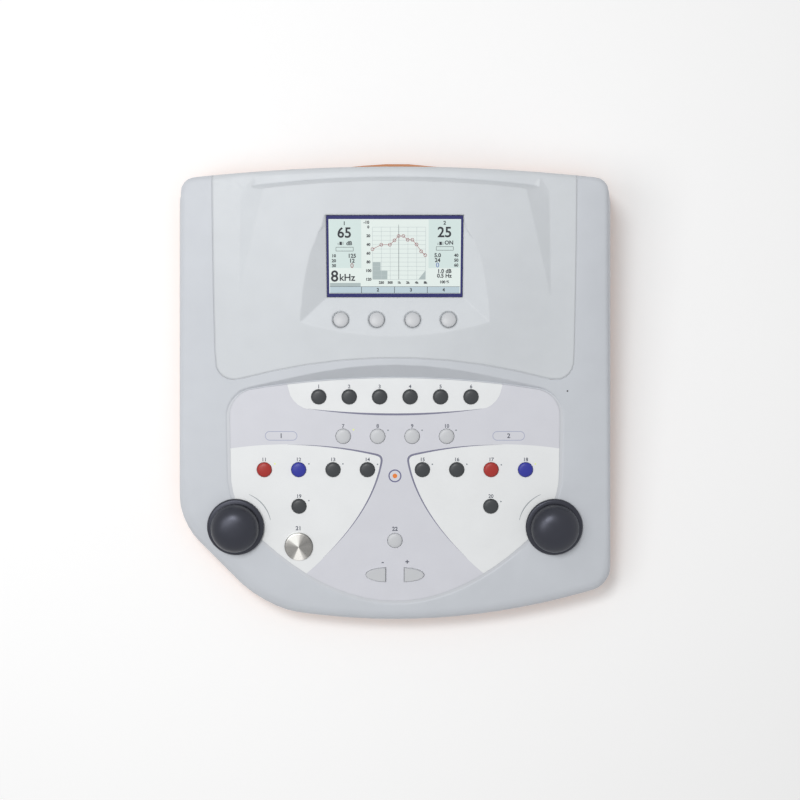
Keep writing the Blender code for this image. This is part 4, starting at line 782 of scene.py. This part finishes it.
def add_screws():
    """Countersunk case screws with a cross recess in the head."""
    steel = new_material("screw_steel")
    for node in numbered("case_screw", 4):
        place, head, length = standing_place(node)
        builder = lathe(screw_profile(head, length), SCREW_STEPS)
        piece = new_piece(node + "_head", builder, steel, CASE, place)
        cut_cross_recess(piece, node + "_recess", place)
        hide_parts(node)


def evaluated_mesh(thing):
    """A new mesh of what an object looks like with its modifiers or its text applied."""
    bpy.context.view_layer.update()
    reader = bpy.context.evaluated_depsgraph_get()
    return bpy.data.meshes.new_from_object(thing.evaluated_get(reader))


# Flat print: ribbons, spots, patches and numbers in a frame


def add_face(builder, corners):
    builder.faces.new([builder.verts.new(corner) for corner in corners])


def add_ribbon(builder, place, points, widths, lift, closed=False):
    """A flat line through points, as wide at each as its width says."""
    last = len(points) - 1
    rails = []
    for i, point in enumerate(points):
        before = points[i - 1] if closed else points[max(0, i - 1)]
        after = points[(i + 1) % len(points)] if closed else points[min(last, i + 1)]
        along = (after - before).normalized()
        side = Vector((-along.y, along.x)) * widths[i] / 2
        spots = [place @ Vector((*spot, lift)) for spot in (point + side, point - side)]
        rails.append([builder.verts.new(spot) for spot in spots])
    ends = rails[1:] + rails[:1] if closed else rails[1:]
    for (left, right), (next_left, next_right) in zip(rails, ends):
        builder.faces.new((right, next_right, next_left, left))


def add_patch(builder, place, corners, lift):
    add_face(builder, [place @ Vector((*corner, lift)) for corner in corners])


def add_spot(builder, place, x, y, radius, steps=SPOT_STEPS):
    add_patch(builder, place, circle(x, y, radius, steps), PRINT_LIFT)


def add_loop(builder, place, corners, width, lift):
    """A closed outline of even width."""
    points = [Vector(corner) for corner in corners]
    add_ribbon(builder, place, points, [width] * len(points), lift, closed=True)


def add_number(builder, place, text, x, y, size, lift, weight=0.0):
    """Plain digits and units, laid flat, with their middle at a point."""
    curve = bpy.data.curves.new("number", "FONT")
    curve.body = text
    curve.size = size
    curve.offset = weight
    curve.align_x = "CENTER"
    curve.align_y = "CENTER"
    curve.resolution_u = FONT_STEPS
    thing = new_object("number", curve)
    mesh = evaluated_mesh(thing)
    mesh.transform(place @ Matrix.Translation((x, y, lift)))
    builder.from_mesh(mesh)
    bpy.data.objects.remove(thing, do_unlink=True)


def tapered(steps, most, least):
    """Widths that swell from least at the ends to most in the middle."""
    return [least + (most - least) * math.sin(math.pi * share) for share in even_shares(steps)]


def panel_place():
    """The frame on the control panel's printed face."""
    return top_frame("store_key") @ Matrix.Translation((0, -STORE_KEY_Y, -KEY_RISE))


def key_spot(node, place):
    """Where a key is on the printed face."""
    return (place.inverted() @ top_frame(node).translation).xy


# Pale strips in the seams of the panel and the case; in the case's seam and the panel's trough their
# pale tones are painted highlight


def add_seams():
    """The white that runs over the seams between the inlays and the face."""
    place = panel_place()
    normal = place.col[2].xyz.normalized()
    reader = surface_reader("control_face")
    builder = bmesh.new()
    for node in DRESSED_NODES["inlay_white"]:
        inlay = welded_solid(node)
        top = {face for face in inlay.faces if face.normal.dot(normal) > LEVEL_SHARE}
        for edge in inlay.edges:
            owners = [face for face in edge.link_faces if face in top]
            if len(owners) != 1:
                continue
            start, end = (vert.co for vert in edge.verts)
            out = (end - start).cross(normal).normalized()
            middle = (start + end) / 2
            if out.dot(middle - owners[0].calc_center_median()) < 0:
                out.negate()
            near = reader.find_nearest(middle + out * SEAM_WIDTH)
            flat = (place.inverted() @ middle).xy
            if near[0] is None or near[3] > SEAM_WIDTH / 2 or near_key(flat, place):
                continue
            reach = out * SEAM_WIDTH * SEAM_REACH_SHARE
            corners = [start, end, end + reach, start + reach]
            add_face(builder, [corner + normal * PRINT_LIFT / 2 for corner in corners])
        inlay.free()
    white = frame["nodes"]["key_strip_inlay"].data.materials[0]
    end_strip("inlay_seams", builder, white)


def near_key(flat, place):
    """Whether a spot on the printed face is beside a round key or the large button."""
    reaches = dict.fromkeys(key_finishes(), KEY_CLEARANCE)
    reaches["interrupter_button"] = BUTTON_CLEARANCE
    return any((flat - key_spot(node, place)).length < reach for node, reach in reaches.items())


def surface_reader(node):
    mesh = frame["nodes"][node].data
    faces = [list(face.vertices) for face in mesh.polygons]
    return BVHTree.FromPolygons([vert.co for vert in mesh.vertices], faces)


def end_strip(name, builder, material):
    """A piece from the loose faces of a strip, all turned the same way."""
    bmesh.ops.recalc_face_normals(builder, faces=builder.faces)
    new_piece(name, builder, material)


def welded_solid(node):
    solid = bmesh.new()
    solid.from_mesh(frame["nodes"][node].data)
    bmesh.ops.remove_doubles(solid, verts=solid.verts, dist=WELD_REACH)
    solid.normal_update()
    return solid


def rim_edges(node, up, rim_shares):
    """A node's edges between a face that looks up and a wall, and the wall's way at each end."""
    solid = welded_solid(node)
    least_top, least_wall, most_wall = rim_shares
    edges = []
    ways = {}
    for edge in solid.edges:
        if len(edge.link_faces) != 2:
            continue
        wall, top = sorted((face.normal.copy() for face in edge.link_faces), key=up.dot)
        if top.dot(up) < least_top or not least_wall < wall.dot(up) < most_wall:
            continue
        flat = wall - up * wall.dot(up)
        lean = wall.dot(up) / flat.length
        edges.append([(vert.index, vert.co.copy()) for vert in edge.verts])
        for vert in edge.verts:
            ways.setdefault(vert.index, []).append((flat.normalized(), lean))
    solid.free()
    for index, found in ways.items():
        flat = sum((way for way, _ in found), Vector()).normalized()
        ways[index] = (flat, sum(lean for _, lean in found) / len(found))
    return [[(spot, *ways[index]) for index, spot in edge] for edge in edges]


def add_cover_seam():
    """A pale strip just below the surface, between the rear cover and the upper case, which fills the
    seam; its pale tone is painted highlight over the gap's shade.
    """
    up = Vector((0, 0, 1))
    reader = surface_reader("top_shell")
    builder = bmesh.new()
    sink = up * COVER_SEAM_DEPTH
    for edge in rim_edges("rear_cover", up, COVER_RIM_SHARES):
        (start, start_way, _), (end, end_way, _) = edge
        beyond = (start + end + (start_way + end_way) * COVER_SEAM_WIDTH) / 2
        near = reader.find_nearest(beyond)
        if near[0] is None or near[3] > COVER_SEAM_WIDTH / 2:
            continue
        corners = [start, end, end + end_way * COVER_SEAM_WIDTH]
        corners.append(start + start_way * COVER_SEAM_WIDTH)
        add_face(builder, [corner - sink for corner in corners])
    end_strip("cover_seam_fill_painted_highlight", builder, new_material("seam_fill_painted_highlight"))


def add_panel_bead():
    """A pale strip in the trough between the panel's sheets and the leaning walls round them; its
    tone, a little paler than the case, is painted highlight along the panel's edge.
    """
    place = panel_place()
    up = place.col[2].xyz.normalized()
    back = place.inverted()
    builder = bmesh.new()
    for edge in rim_edges("top_shell", up, PIT_RIM_SHARES):
        heights = [(back @ spot).z + PIT_DEPTH for spot, _, _ in edge]
        if max(abs(height) for height in heights) > PIT_DEPTH / 4:
            continue
        inner = []
        outer = []
        for spot, way, lean in edge:
            rise = BEAD_RISE * lean
            inner.append(spot + way * BEAD_INSET + up * rise)
            outer.append(spot - way * lean * rise + up * rise)
        add_face(builder, [*inner, *reversed(outer)])
    end_strip("panel_bead_fill_painted_highlight", builder, new_material("bead_fill_painted_highlight"))


# Print on the control panel


def strip_line():
    """The line under the white strip of function keys, lowest in its middle."""
    xs = [STRIP_HALF * (2 * share - 1) for share in even_shares(STRIP_STEPS)]
    return [Vector((x, STRIP_Y + x * x / STRIP_BOW)) for x in xs]


def wedge_top_line(side):
    ins = [(WEDGE_OUTER_X - WEDGE_TIP_X) * share for share in even_shares(WEDGE_STEPS)]
    ys = [WEDGE_TOP_Y - far * far / WEDGE_TOP_BOW for far in ins]
    return [Vector((side * (WEDGE_OUTER_X - far), y)) for far, y in zip(ins, ys)]


def wedge_inner_line(side):
    downs = [WEDGE_DEPTH * share for share in even_shares(WEDGE_STEPS)]
    xs = [WEDGE_TIP_X + WEDGE_SLOPE * down + down * down / WEDGE_INNER_BOW for down in downs]
    return [Vector((side * x, WEDGE_TIP_Y - down)) for x, down in zip(xs, downs)]


def rounded_corner(side):
    """The wedge's inner corner, rounded, from its top line to its inner line."""
    tip = Vector((side * WEDGE_TIP_X, WEDGE_TIP_Y))
    start = tip + Vector((side * CORNER_REACH, CORNER_RISE))
    end = tip + Vector((side * CORNER_LEAN, -CORNER_REACH))
    path = [start.lerp(tip, s).lerp(tip.lerp(end, s), s) for s in even_shares(CORNER_STEPS)]
    return tip, path


def add_wedge_line(builder, place, side, bend):
    """The line along a wedge's top and inner edge, widest at the bend between them."""
    top = [spot for spot in wedge_top_line(side) if abs(spot.x) > abs(bend[0].x)]
    inner = [spot for spot in wedge_inner_line(side) if spot.y < bend[-1].y]
    path = top + bend + inner
    peak = len(top) + len(bend) // 2
    widths = []
    for i in range(len(path)):
        away = abs(i - peak) / (peak if i < peak else len(path) - 1 - peak)
        widths.append(WEDGE_LINE_WIDTH - WEDGE_LINE_LOSS * away**FADE_POWER)
    add_ribbon(builder, place, path, widths, PRINT_LIFT)


def add_panel_lines(place):
    """The dark lines that swell and fade along the white inlays, and their covered sharp tips."""
    lines = bmesh.new()
    widths = tapered(STRIP_STEPS, *STRIP_LINE_WIDTHS)
    add_ribbon(lines, place, strip_line(), widths, PRINT_LIFT)
    tips = bmesh.new()
    for side in (-1, 1):
        tip, bend = rounded_corner(side)
        add_wedge_line(lines, place, side, bend)
        over = bend[0] + Vector((0, TIP_SPREAD))
        beyond = tip + Vector((-side, 1)) * TIP_SPREAD
        beside = bend[-1] - Vector((side * TIP_SPREAD, 0))
        corners = [over, beyond, beside, *reversed(bend)]
        add_patch(tips, place, corners, PRINT_LIFT / 2)
    new_piece("panel_lines", lines, ink("ink_line"))
    bmesh.ops.recalc_face_normals(tips, faces=tips.faces)
    new_piece("wedge_tips", tips, ink("ink_face"))


def add_dial_arcs(place):
    builder = bmesh.new()
    widths = tapered(ARC_STEPS, *ARC_WIDTHS)
    for side, node in ((-1, "left_dial"), (1, "right_dial")):
        middle = key_spot(node, place)
        turns = [ARC_START + ARC_SWEEP * share for share in even_shares(ARC_STEPS)]
        ways = [Vector((-side * math.cos(turn), math.sin(turn))) for turn in turns]
        spots = [middle + way * ARC_RADIUS for way in ways]
        add_ribbon(builder, place, spots, widths, PRINT_LIFT)
    new_piece("dial_arcs", builder, ink("ink_arc"))


def pill_corners(x, y, width, height):
    """A long frame with round ends."""
    radius = height / 2
    corners = []
    for end in (1, -1):
        for share in even_shares(PILL_STEPS):
            turn = end * math.pi / 2 * (2 * share - 1)
            out = end * (width / 2 - radius + radius * math.cos(turn))
            corners.append((x + out, y + end * radius * math.sin(end * turn)))
    return corners


def add_pills(place):
    builder = bmesh.new()
    for side in (-1, 1):
        corners = pill_corners(side * CHANNEL_X, PILL_Y, PILL_LENGTH, PILL_HEIGHT)
        add_loop(builder, place, corners, PILL_LINE, PRINT_LIFT)
    new_piece("channel_frames", builder, ink("ink_pill"))


def add_response_ring(place):
    """A plain ring round an orange spot over the response lamp."""
    ring = bmesh.new()
    corners = circle(0, RESPONSE_Y, RESPONSE_RADIUS, KEY_STEPS)
    add_loop(ring, place, corners, RESPONSE_LINE, PRINT_LIFT)
    new_piece("response_ring", ring, ink("ink_ring"))
    spot = bmesh.new()
    add_spot(spot, place, 0, RESPONSE_Y, RESPONSE_SPOT)
    new_piece("response_spot", spot, ink("ink_orange"))


def key_numbers():
    """The plain number printed over each key, counted from left to right and down."""
    order = numbered("function_key", 6) + numbered("mode_key", 4)
    order += reversed(numbered("stimulus_key", 4))
    order += numbered("masking_key", 4) + ["hook_key", "enable_key"]
    return {node: str(number) for number, node in enumerate(order, 1)}


def add_numbers(place):
    builder = bmesh.new()
    labels = []
    for node, text in key_numbers().items():
        spot = key_spot(node, place)
        labels.append((text, spot.x, spot.y + LABEL_RISE, *LABEL))
    spot = key_spot("interrupter_button", place)
    labels.append(("21", spot.x, spot.y + BUTTON_LABEL_RISE, *BIG_LABEL))
    labels.append(("22", 0, STORE_LABEL_Y, *BIG_LABEL))
    for side, sign, channel in ((-1, "-", "1"), (1, "+", "2")):
        labels.append((sign, side * SIGN_X, SIGN_Y, *SIGN_LABEL))
        labels.append((channel, side * CHANNEL_X, CHANNEL_Y, *CHANNEL_LABEL))
    for text, x, y, size, weight in labels:
        add_number(builder, place, text, x, y, size, PRINT_LIFT, weight)
    new_piece("key_numbers", builder, ink("ink_dark"))


def add_lamps(place):
    """Small lamp windows beside the keys, in millimetres; three are lit, as in the photograph."""
    dark = [(-5, -28.4), (19.7, -28.4), (44.3, -28.4), (-62.5, -53.1), (-37.8, -53.1)]
    dark += [(-12.6, -53.5), (-62.8, -80.3), (27.2, -53.4), (52.3, -53.4), (77.4, -53.8)]
    dark += [(77.3, -81)]
    lit = [(-30, -28), (-87.3, -53.1), (102.1, -53.2)]
    for name, spots, radius, material in (
        ("lamps_off", dark, LAMP_RADIUS, ink("lamp_off")),
        ("lamps_lit", lit, LIT_LAMP_RADIUS, light_up(ink("lamp_lit"), LAMP_GLOW)),
    ):
        builder = bmesh.new()
        for x, y in spots:
            add_spot(builder, place, x * MM, y * MM, radius, LAMP_STEPS)
        new_piece(name, builder, material)


def add_microphone_hole():
    """The small hole of the talk-through microphone in the right rim, as a flat black disc of painted
    shade.
    """
    start = Vector((*MICROPHONE_PLACE, ABOVE_ALL))
    spot, normal, _, _ = surface_reader("top_shell").ray_cast(start, Vector((0, 0, -1)))
    builder = bmesh.new()
    add_spot(builder, normal_frame(spot, normal), 0, 0, MICROPHONE_RADIUS)
    new_piece("microphone_hole_painted_shade", builder, new_material("hole_painted_shade"))


# The picture on the display, in the pixels of its panel


def display_place():
    """The frame on the window's face, with the window's centre as its origin."""
    mesh = frame["nodes"]["display_window"].data
    normal = max(mesh.polygons, key=lambda face: face.area * face.normal.z).normal
    height = max(vert.co.dot(normal) for vert in mesh.vertices)
    corners = [v.co for v in mesh.vertices if height - v.co.dot(normal) < PRINT_LIFT]
    place = normal_frame(corners[0], normal)
    flat = [place.inverted() @ corner for corner in corners]
    middle = Vector([min(axis) + max(axis) for axis in zip(*flat)]) / 2
    return place @ Matrix.Translation(middle)


def screen_spot(column, row):
    """A pixel of the display's panel as a place on the window."""
    return ((column - COLUMNS / 2) * PIXEL, (ROWS / 2 - row) * PIXEL)


def box_corners(left, top, right, bottom):
    return [(left, bottom), (right, bottom), (right, top), (left, top)]


def add_screen_shape(builder, place, shape, lift):
    """A flat shape on the display: a box by its left, top, right and bottom, or three corners."""
    spots = box_corners(*shape) if len(shape) == 4 else shape
    add_patch(builder, place, [screen_spot(*spot) for spot in spots], lift)


def screen_line(builder, place, spots, width, lift):
    points = [Vector(screen_spot(*spot)) for spot in spots]
    add_ribbon(builder, place, points, [width] * len(points), lift)


def add_screen_ground(place, lifts):
    """The flat shapes behind the lines and numbers on the display."""
    sides = [(2, 2, 118, 178), (363, 2, 478, 178)]
    shades = [(3, 233, 115, 246), (159, 187, 213, 220), (159, 157, 188, 187)]
    shades.append(((326, 220), (352, 220), (352, 187)))
    for name, layer, material, shapes in (
        ("screen_ground", "ground", screen_ink("screen_ground"), [(0, 0, COLUMNS, ROWS)]),
        ("screen_sides", "patches", screen_ink("screen_side"), sides),
        ("screen_bars", "patches", screen_ink("screen_bar"), [(3, 247, 477, 270)]),
        ("screen_shades", "patches", screen_ink("screen_shade", SHADE_GLOW), shades),
    ):
        builder = bmesh.new()
        for shape in shapes:
            add_screen_shape(builder, place, shape, lifts[layer])
        new_piece(name, builder, material)


def add_screen_grid(place, lift):
    grid = bmesh.new()
    for i in range(7):
        column = PLOT_LEFT + PLOT_COLUMN_STEP * i
        screen_line(grid, place, ((column, PLOT_TOP), (column, PLOT_BOTTOM)), GRID_LINE, lift)
    for i in range(13):
        row = PLOT_TOP + PLOT_ROW_STEP * i
        screen_line(grid, place, ((PLOT_LEFT, row), (PLOT_RIGHT, row)), GRID_LINE, lift)
    new_piece("screen_grid", grid, screen_ink("screen_grid"))


def add_screen_curve(place, lift):
    """The red hearing curve with a circle at each point, and a red and a blue mark."""
    spots = [(159, 109), (191, 93), (222, 93), (239, 77), (254, 61), (271, 61)]
    spots += [(287, 75), (304, 75), (319, 92), (336, 117), (351, 131)]
    curve = bmesh.new()
    screen_line(curve, place, spots, CURVE_LINE, lift)
    for spot in spots:
        corners = circle(*screen_spot(*spot), CIRCLE_RADIUS, CIRCLE_STEPS)
        add_loop(curve, place, corners, CIRCLE_LINE, lift)
    add_screen_text(curve, place, "0", 84, 170, 16, lift)
    new_piece("screen_curve", curve, screen_ink("screen_red"))
    blue = bmesh.new()
    add_screen_text(blue, place, "0", 396, 168, 16, lift)
    new_piece("screen_blue_mark", blue, screen_ink("screen_blue"))


def add_screen_text(builder, place, text, column, row, height, lift, weight=0.0):
    """Digits whose size is given in panel pixels."""
    size = height * PIXEL * TEXT_SHARE
    add_number(builder, place, text, *screen_spot(column, row), size, lift, weight)


def screen_words():
    """Each number or unit on the display, with its column, row and height."""
    words = [("1", 57, 16, 12), ("2", 421, 14, 12), ("65", 57, 51, 34), ("25", 421, 49, 34)]
    words += [("dB", 74, 88, 13), ("ON", 437, 86, 13), ("8", 20, 210, 37), ("kHz", 66, 214, 23)]
    words += [("0.5 Hz", 421, 207, 13), ("1.0 dB", 421, 190, 13), ("100 %", 421, 230, 9)]
    words += [("125", 84, 134, 13), ("12", 84, 152, 13), ("10", 18, 134, 10), ("20", 18, 152, 10)]
    words += [("30", 18, 170, 10), ("5.0", 396, 132, 13), ("24", 396, 150, 13)]
    words += [("40", 464, 132, 10), ("50", 464, 150, 10), ("60", 464, 168, 10)]
    words += [("-10", 137, 12, 10), ("2", 178, 259, 11), ("3", 299, 259, 11), ("4", 419, 259, 11)]
    for i in range(7):
        words.append((str(20 * i), 144, PLOT_TOP + SCALE_ROW_STEP * i, 9))
    for i, text in enumerate(("250", "500", "1k", "2k", "4k", "8k")):
        words.append((text, 191 + PLOT_COLUMN_STEP * i, 232, 8))
    return words


def add_screen_print(place, lift):
    """The dark lines, frames, small lamps and numbers on the display."""
    dark = bmesh.new()
    screen_line(dark, place, ((254, 20), (254, 220)), AXIS_LINE, lift)
    for row in (246.5, 270.5):
        screen_line(dark, place, ((2, row), (478, row)), BAR_LINE, lift)
    for column in (118, 239, 359):
        screen_line(dark, place, ((column, 246), (column, 271)), TAB_LINE, lift)
    for box in ((26, 102, 89, 116), (391, 100, 453, 113)):
        corners = box_corners(*box)
        for i, corner in enumerate(corners):
            screen_line(dark, place, (corners[i - 1], corner), FRAME_LINE, lift)
    for middle in (43, 406):
        add_screen_shape(dark, place, (middle - 4, 82, middle + 5, 94), lift)
        screen_line(dark, place, ((middle - 9, 94), (middle - 9, 86)), CURVE_LINE, lift)
        screen_line(dark, place, ((middle + 9, 94), (middle + 9, 82)), CURVE_LINE, lift)
    for text, column, row, height in screen_words():
        weight = TEXT_WEIGHT if height < BIG_TEXT_HEIGHT else BIG_TEXT_WEIGHT
        add_screen_text(dark, place, text, column, row, height, lift, weight)
    new_piece("screen_print", dark, screen_ink("screen_dark", DARK_GLOW))


def add_screen():
    place = display_place()
    lifts = {layer: PRINT_LIFT + LAYER_STEP * i for i, layer in enumerate(LAYERS)}
    add_screen_ground(place, lifts)
    add_screen_grid(place, lifts["grid"])
    add_screen_print(place, lifts["print"])
    add_screen_curve(place, lifts["curve"])


# Floor, light and camera


def background_rays(tree):
    """One for rays that see the background, and zero for the light that falls on things."""
    rays = tree.nodes.new("ShaderNodeLightPath")
    seen = rays.outputs["Is Camera Ray"]
    for name in ("Is Glossy Ray", "Is Transmission Ray"):
        either = tree.nodes.new("ShaderNodeMath")
        either.operation = "MAXIMUM"
        tree.links.new(seen, either.inputs[0])
        tree.links.new(rays.outputs[name], either.inputs[1])
        seen = either.outputs["Value"]
    return seen


def add_floor():
    builder = bmesh.new()
    bmesh.ops.create_grid(builder, x_segments=1, y_segments=1, size=FLOOR_REACH)
    floor = new_object("floor", mesh_of("floor", builder))
    material, shader = blank_material("floor_white")
    fill(shader, Base_Color=[*linear(FLOOR_WHITE), 1], Emission_Color=[1, 1, 1, 1])
    fill(shader, Roughness=FLOOR_ROUGHNESS, Specular_IOR_Level=0.0)
    glow = add_node(material, "ShaderNodeMath", operation="MULTIPLY")
    link(material, background_rays(material.node_tree), glow.inputs[0])
    glow.inputs[1].default_value = FLOOR_GLOW
    link(material, glow.outputs["Value"], shader.inputs["Emission Strength"])
    floor.data.materials.append(material)


def add_world():
    """An even sky that is white to look at and dimmer in the light that it gives."""
    world = bpy.data.worlds.new("studio")
    bpy.context.scene.world = world
    world.use_nodes = True
    tree = world.node_tree
    ground = tree.nodes["Background"]
    fill(ground, Color=[1, 1, 1, 1])
    level = tree.nodes.new("ShaderNodeMapRange")
    fill(level, To_Min=WORLD_LEVEL, To_Max=1.0)
    tree.links.new(background_rays(tree), level.inputs["Value"])
    tree.links.new(level.outputs["Result"], ground.inputs["Strength"])


def add_light(name, place, side, power):
    light = bpy.data.lights.new(name, "AREA")
    light.shape = "SQUARE"
    light.size = side
    light.energy = power
    thing = new_object(name, light)
    thing.location = place
    aim = Vector(AIM) - Vector(place)
    thing.rotation_euler = aim.to_track_quat("-Z", "Y").to_euler()


def add_camera():
    """Straight above, a little off centre, as the photograph was taken."""
    data = bpy.data.cameras.new("camera")
    half_view = PHOTO_WIDTH / 2 * PHOTO_PIXEL
    data.sensor_width = SENSOR_WIDTH
    data.lens = SENSOR_WIDTH / 2 * (CAMERA_PLACE[2] - SHARP_HEIGHT) / half_view
    data.clip_start = CLIP_START
    data.clip_end = CLIP_END
    camera = new_object("camera", data)
    camera.location = CAMERA_PLACE
    bpy.context.scene.camera = camera


def add_print():
    place = panel_place()
    add_panel_lines(place)
    add_dial_arcs(place)
    add_pills(place)
    add_response_ring(place)
    add_numbers(place)
    add_lamps(place)
    add_microphone_hole()


def main():
    bpy.context.scene.view_settings.view_transform = "Standard"
    dress_cad_nodes()
    smooth_cad_nodes()
    add_keys()
    add_interrupter()
    add_dials()
    add_feet()
    add_screws()
    add_seams()
    add_cover_seam()
    add_panel_bead()
    add_print()
    add_screen()
    add_floor()
    add_world()
    add_light("key_softbox", *KEY_LIGHT)
    add_light("left_softbox", *LEFT_LIGHT)
    add_camera()


main()
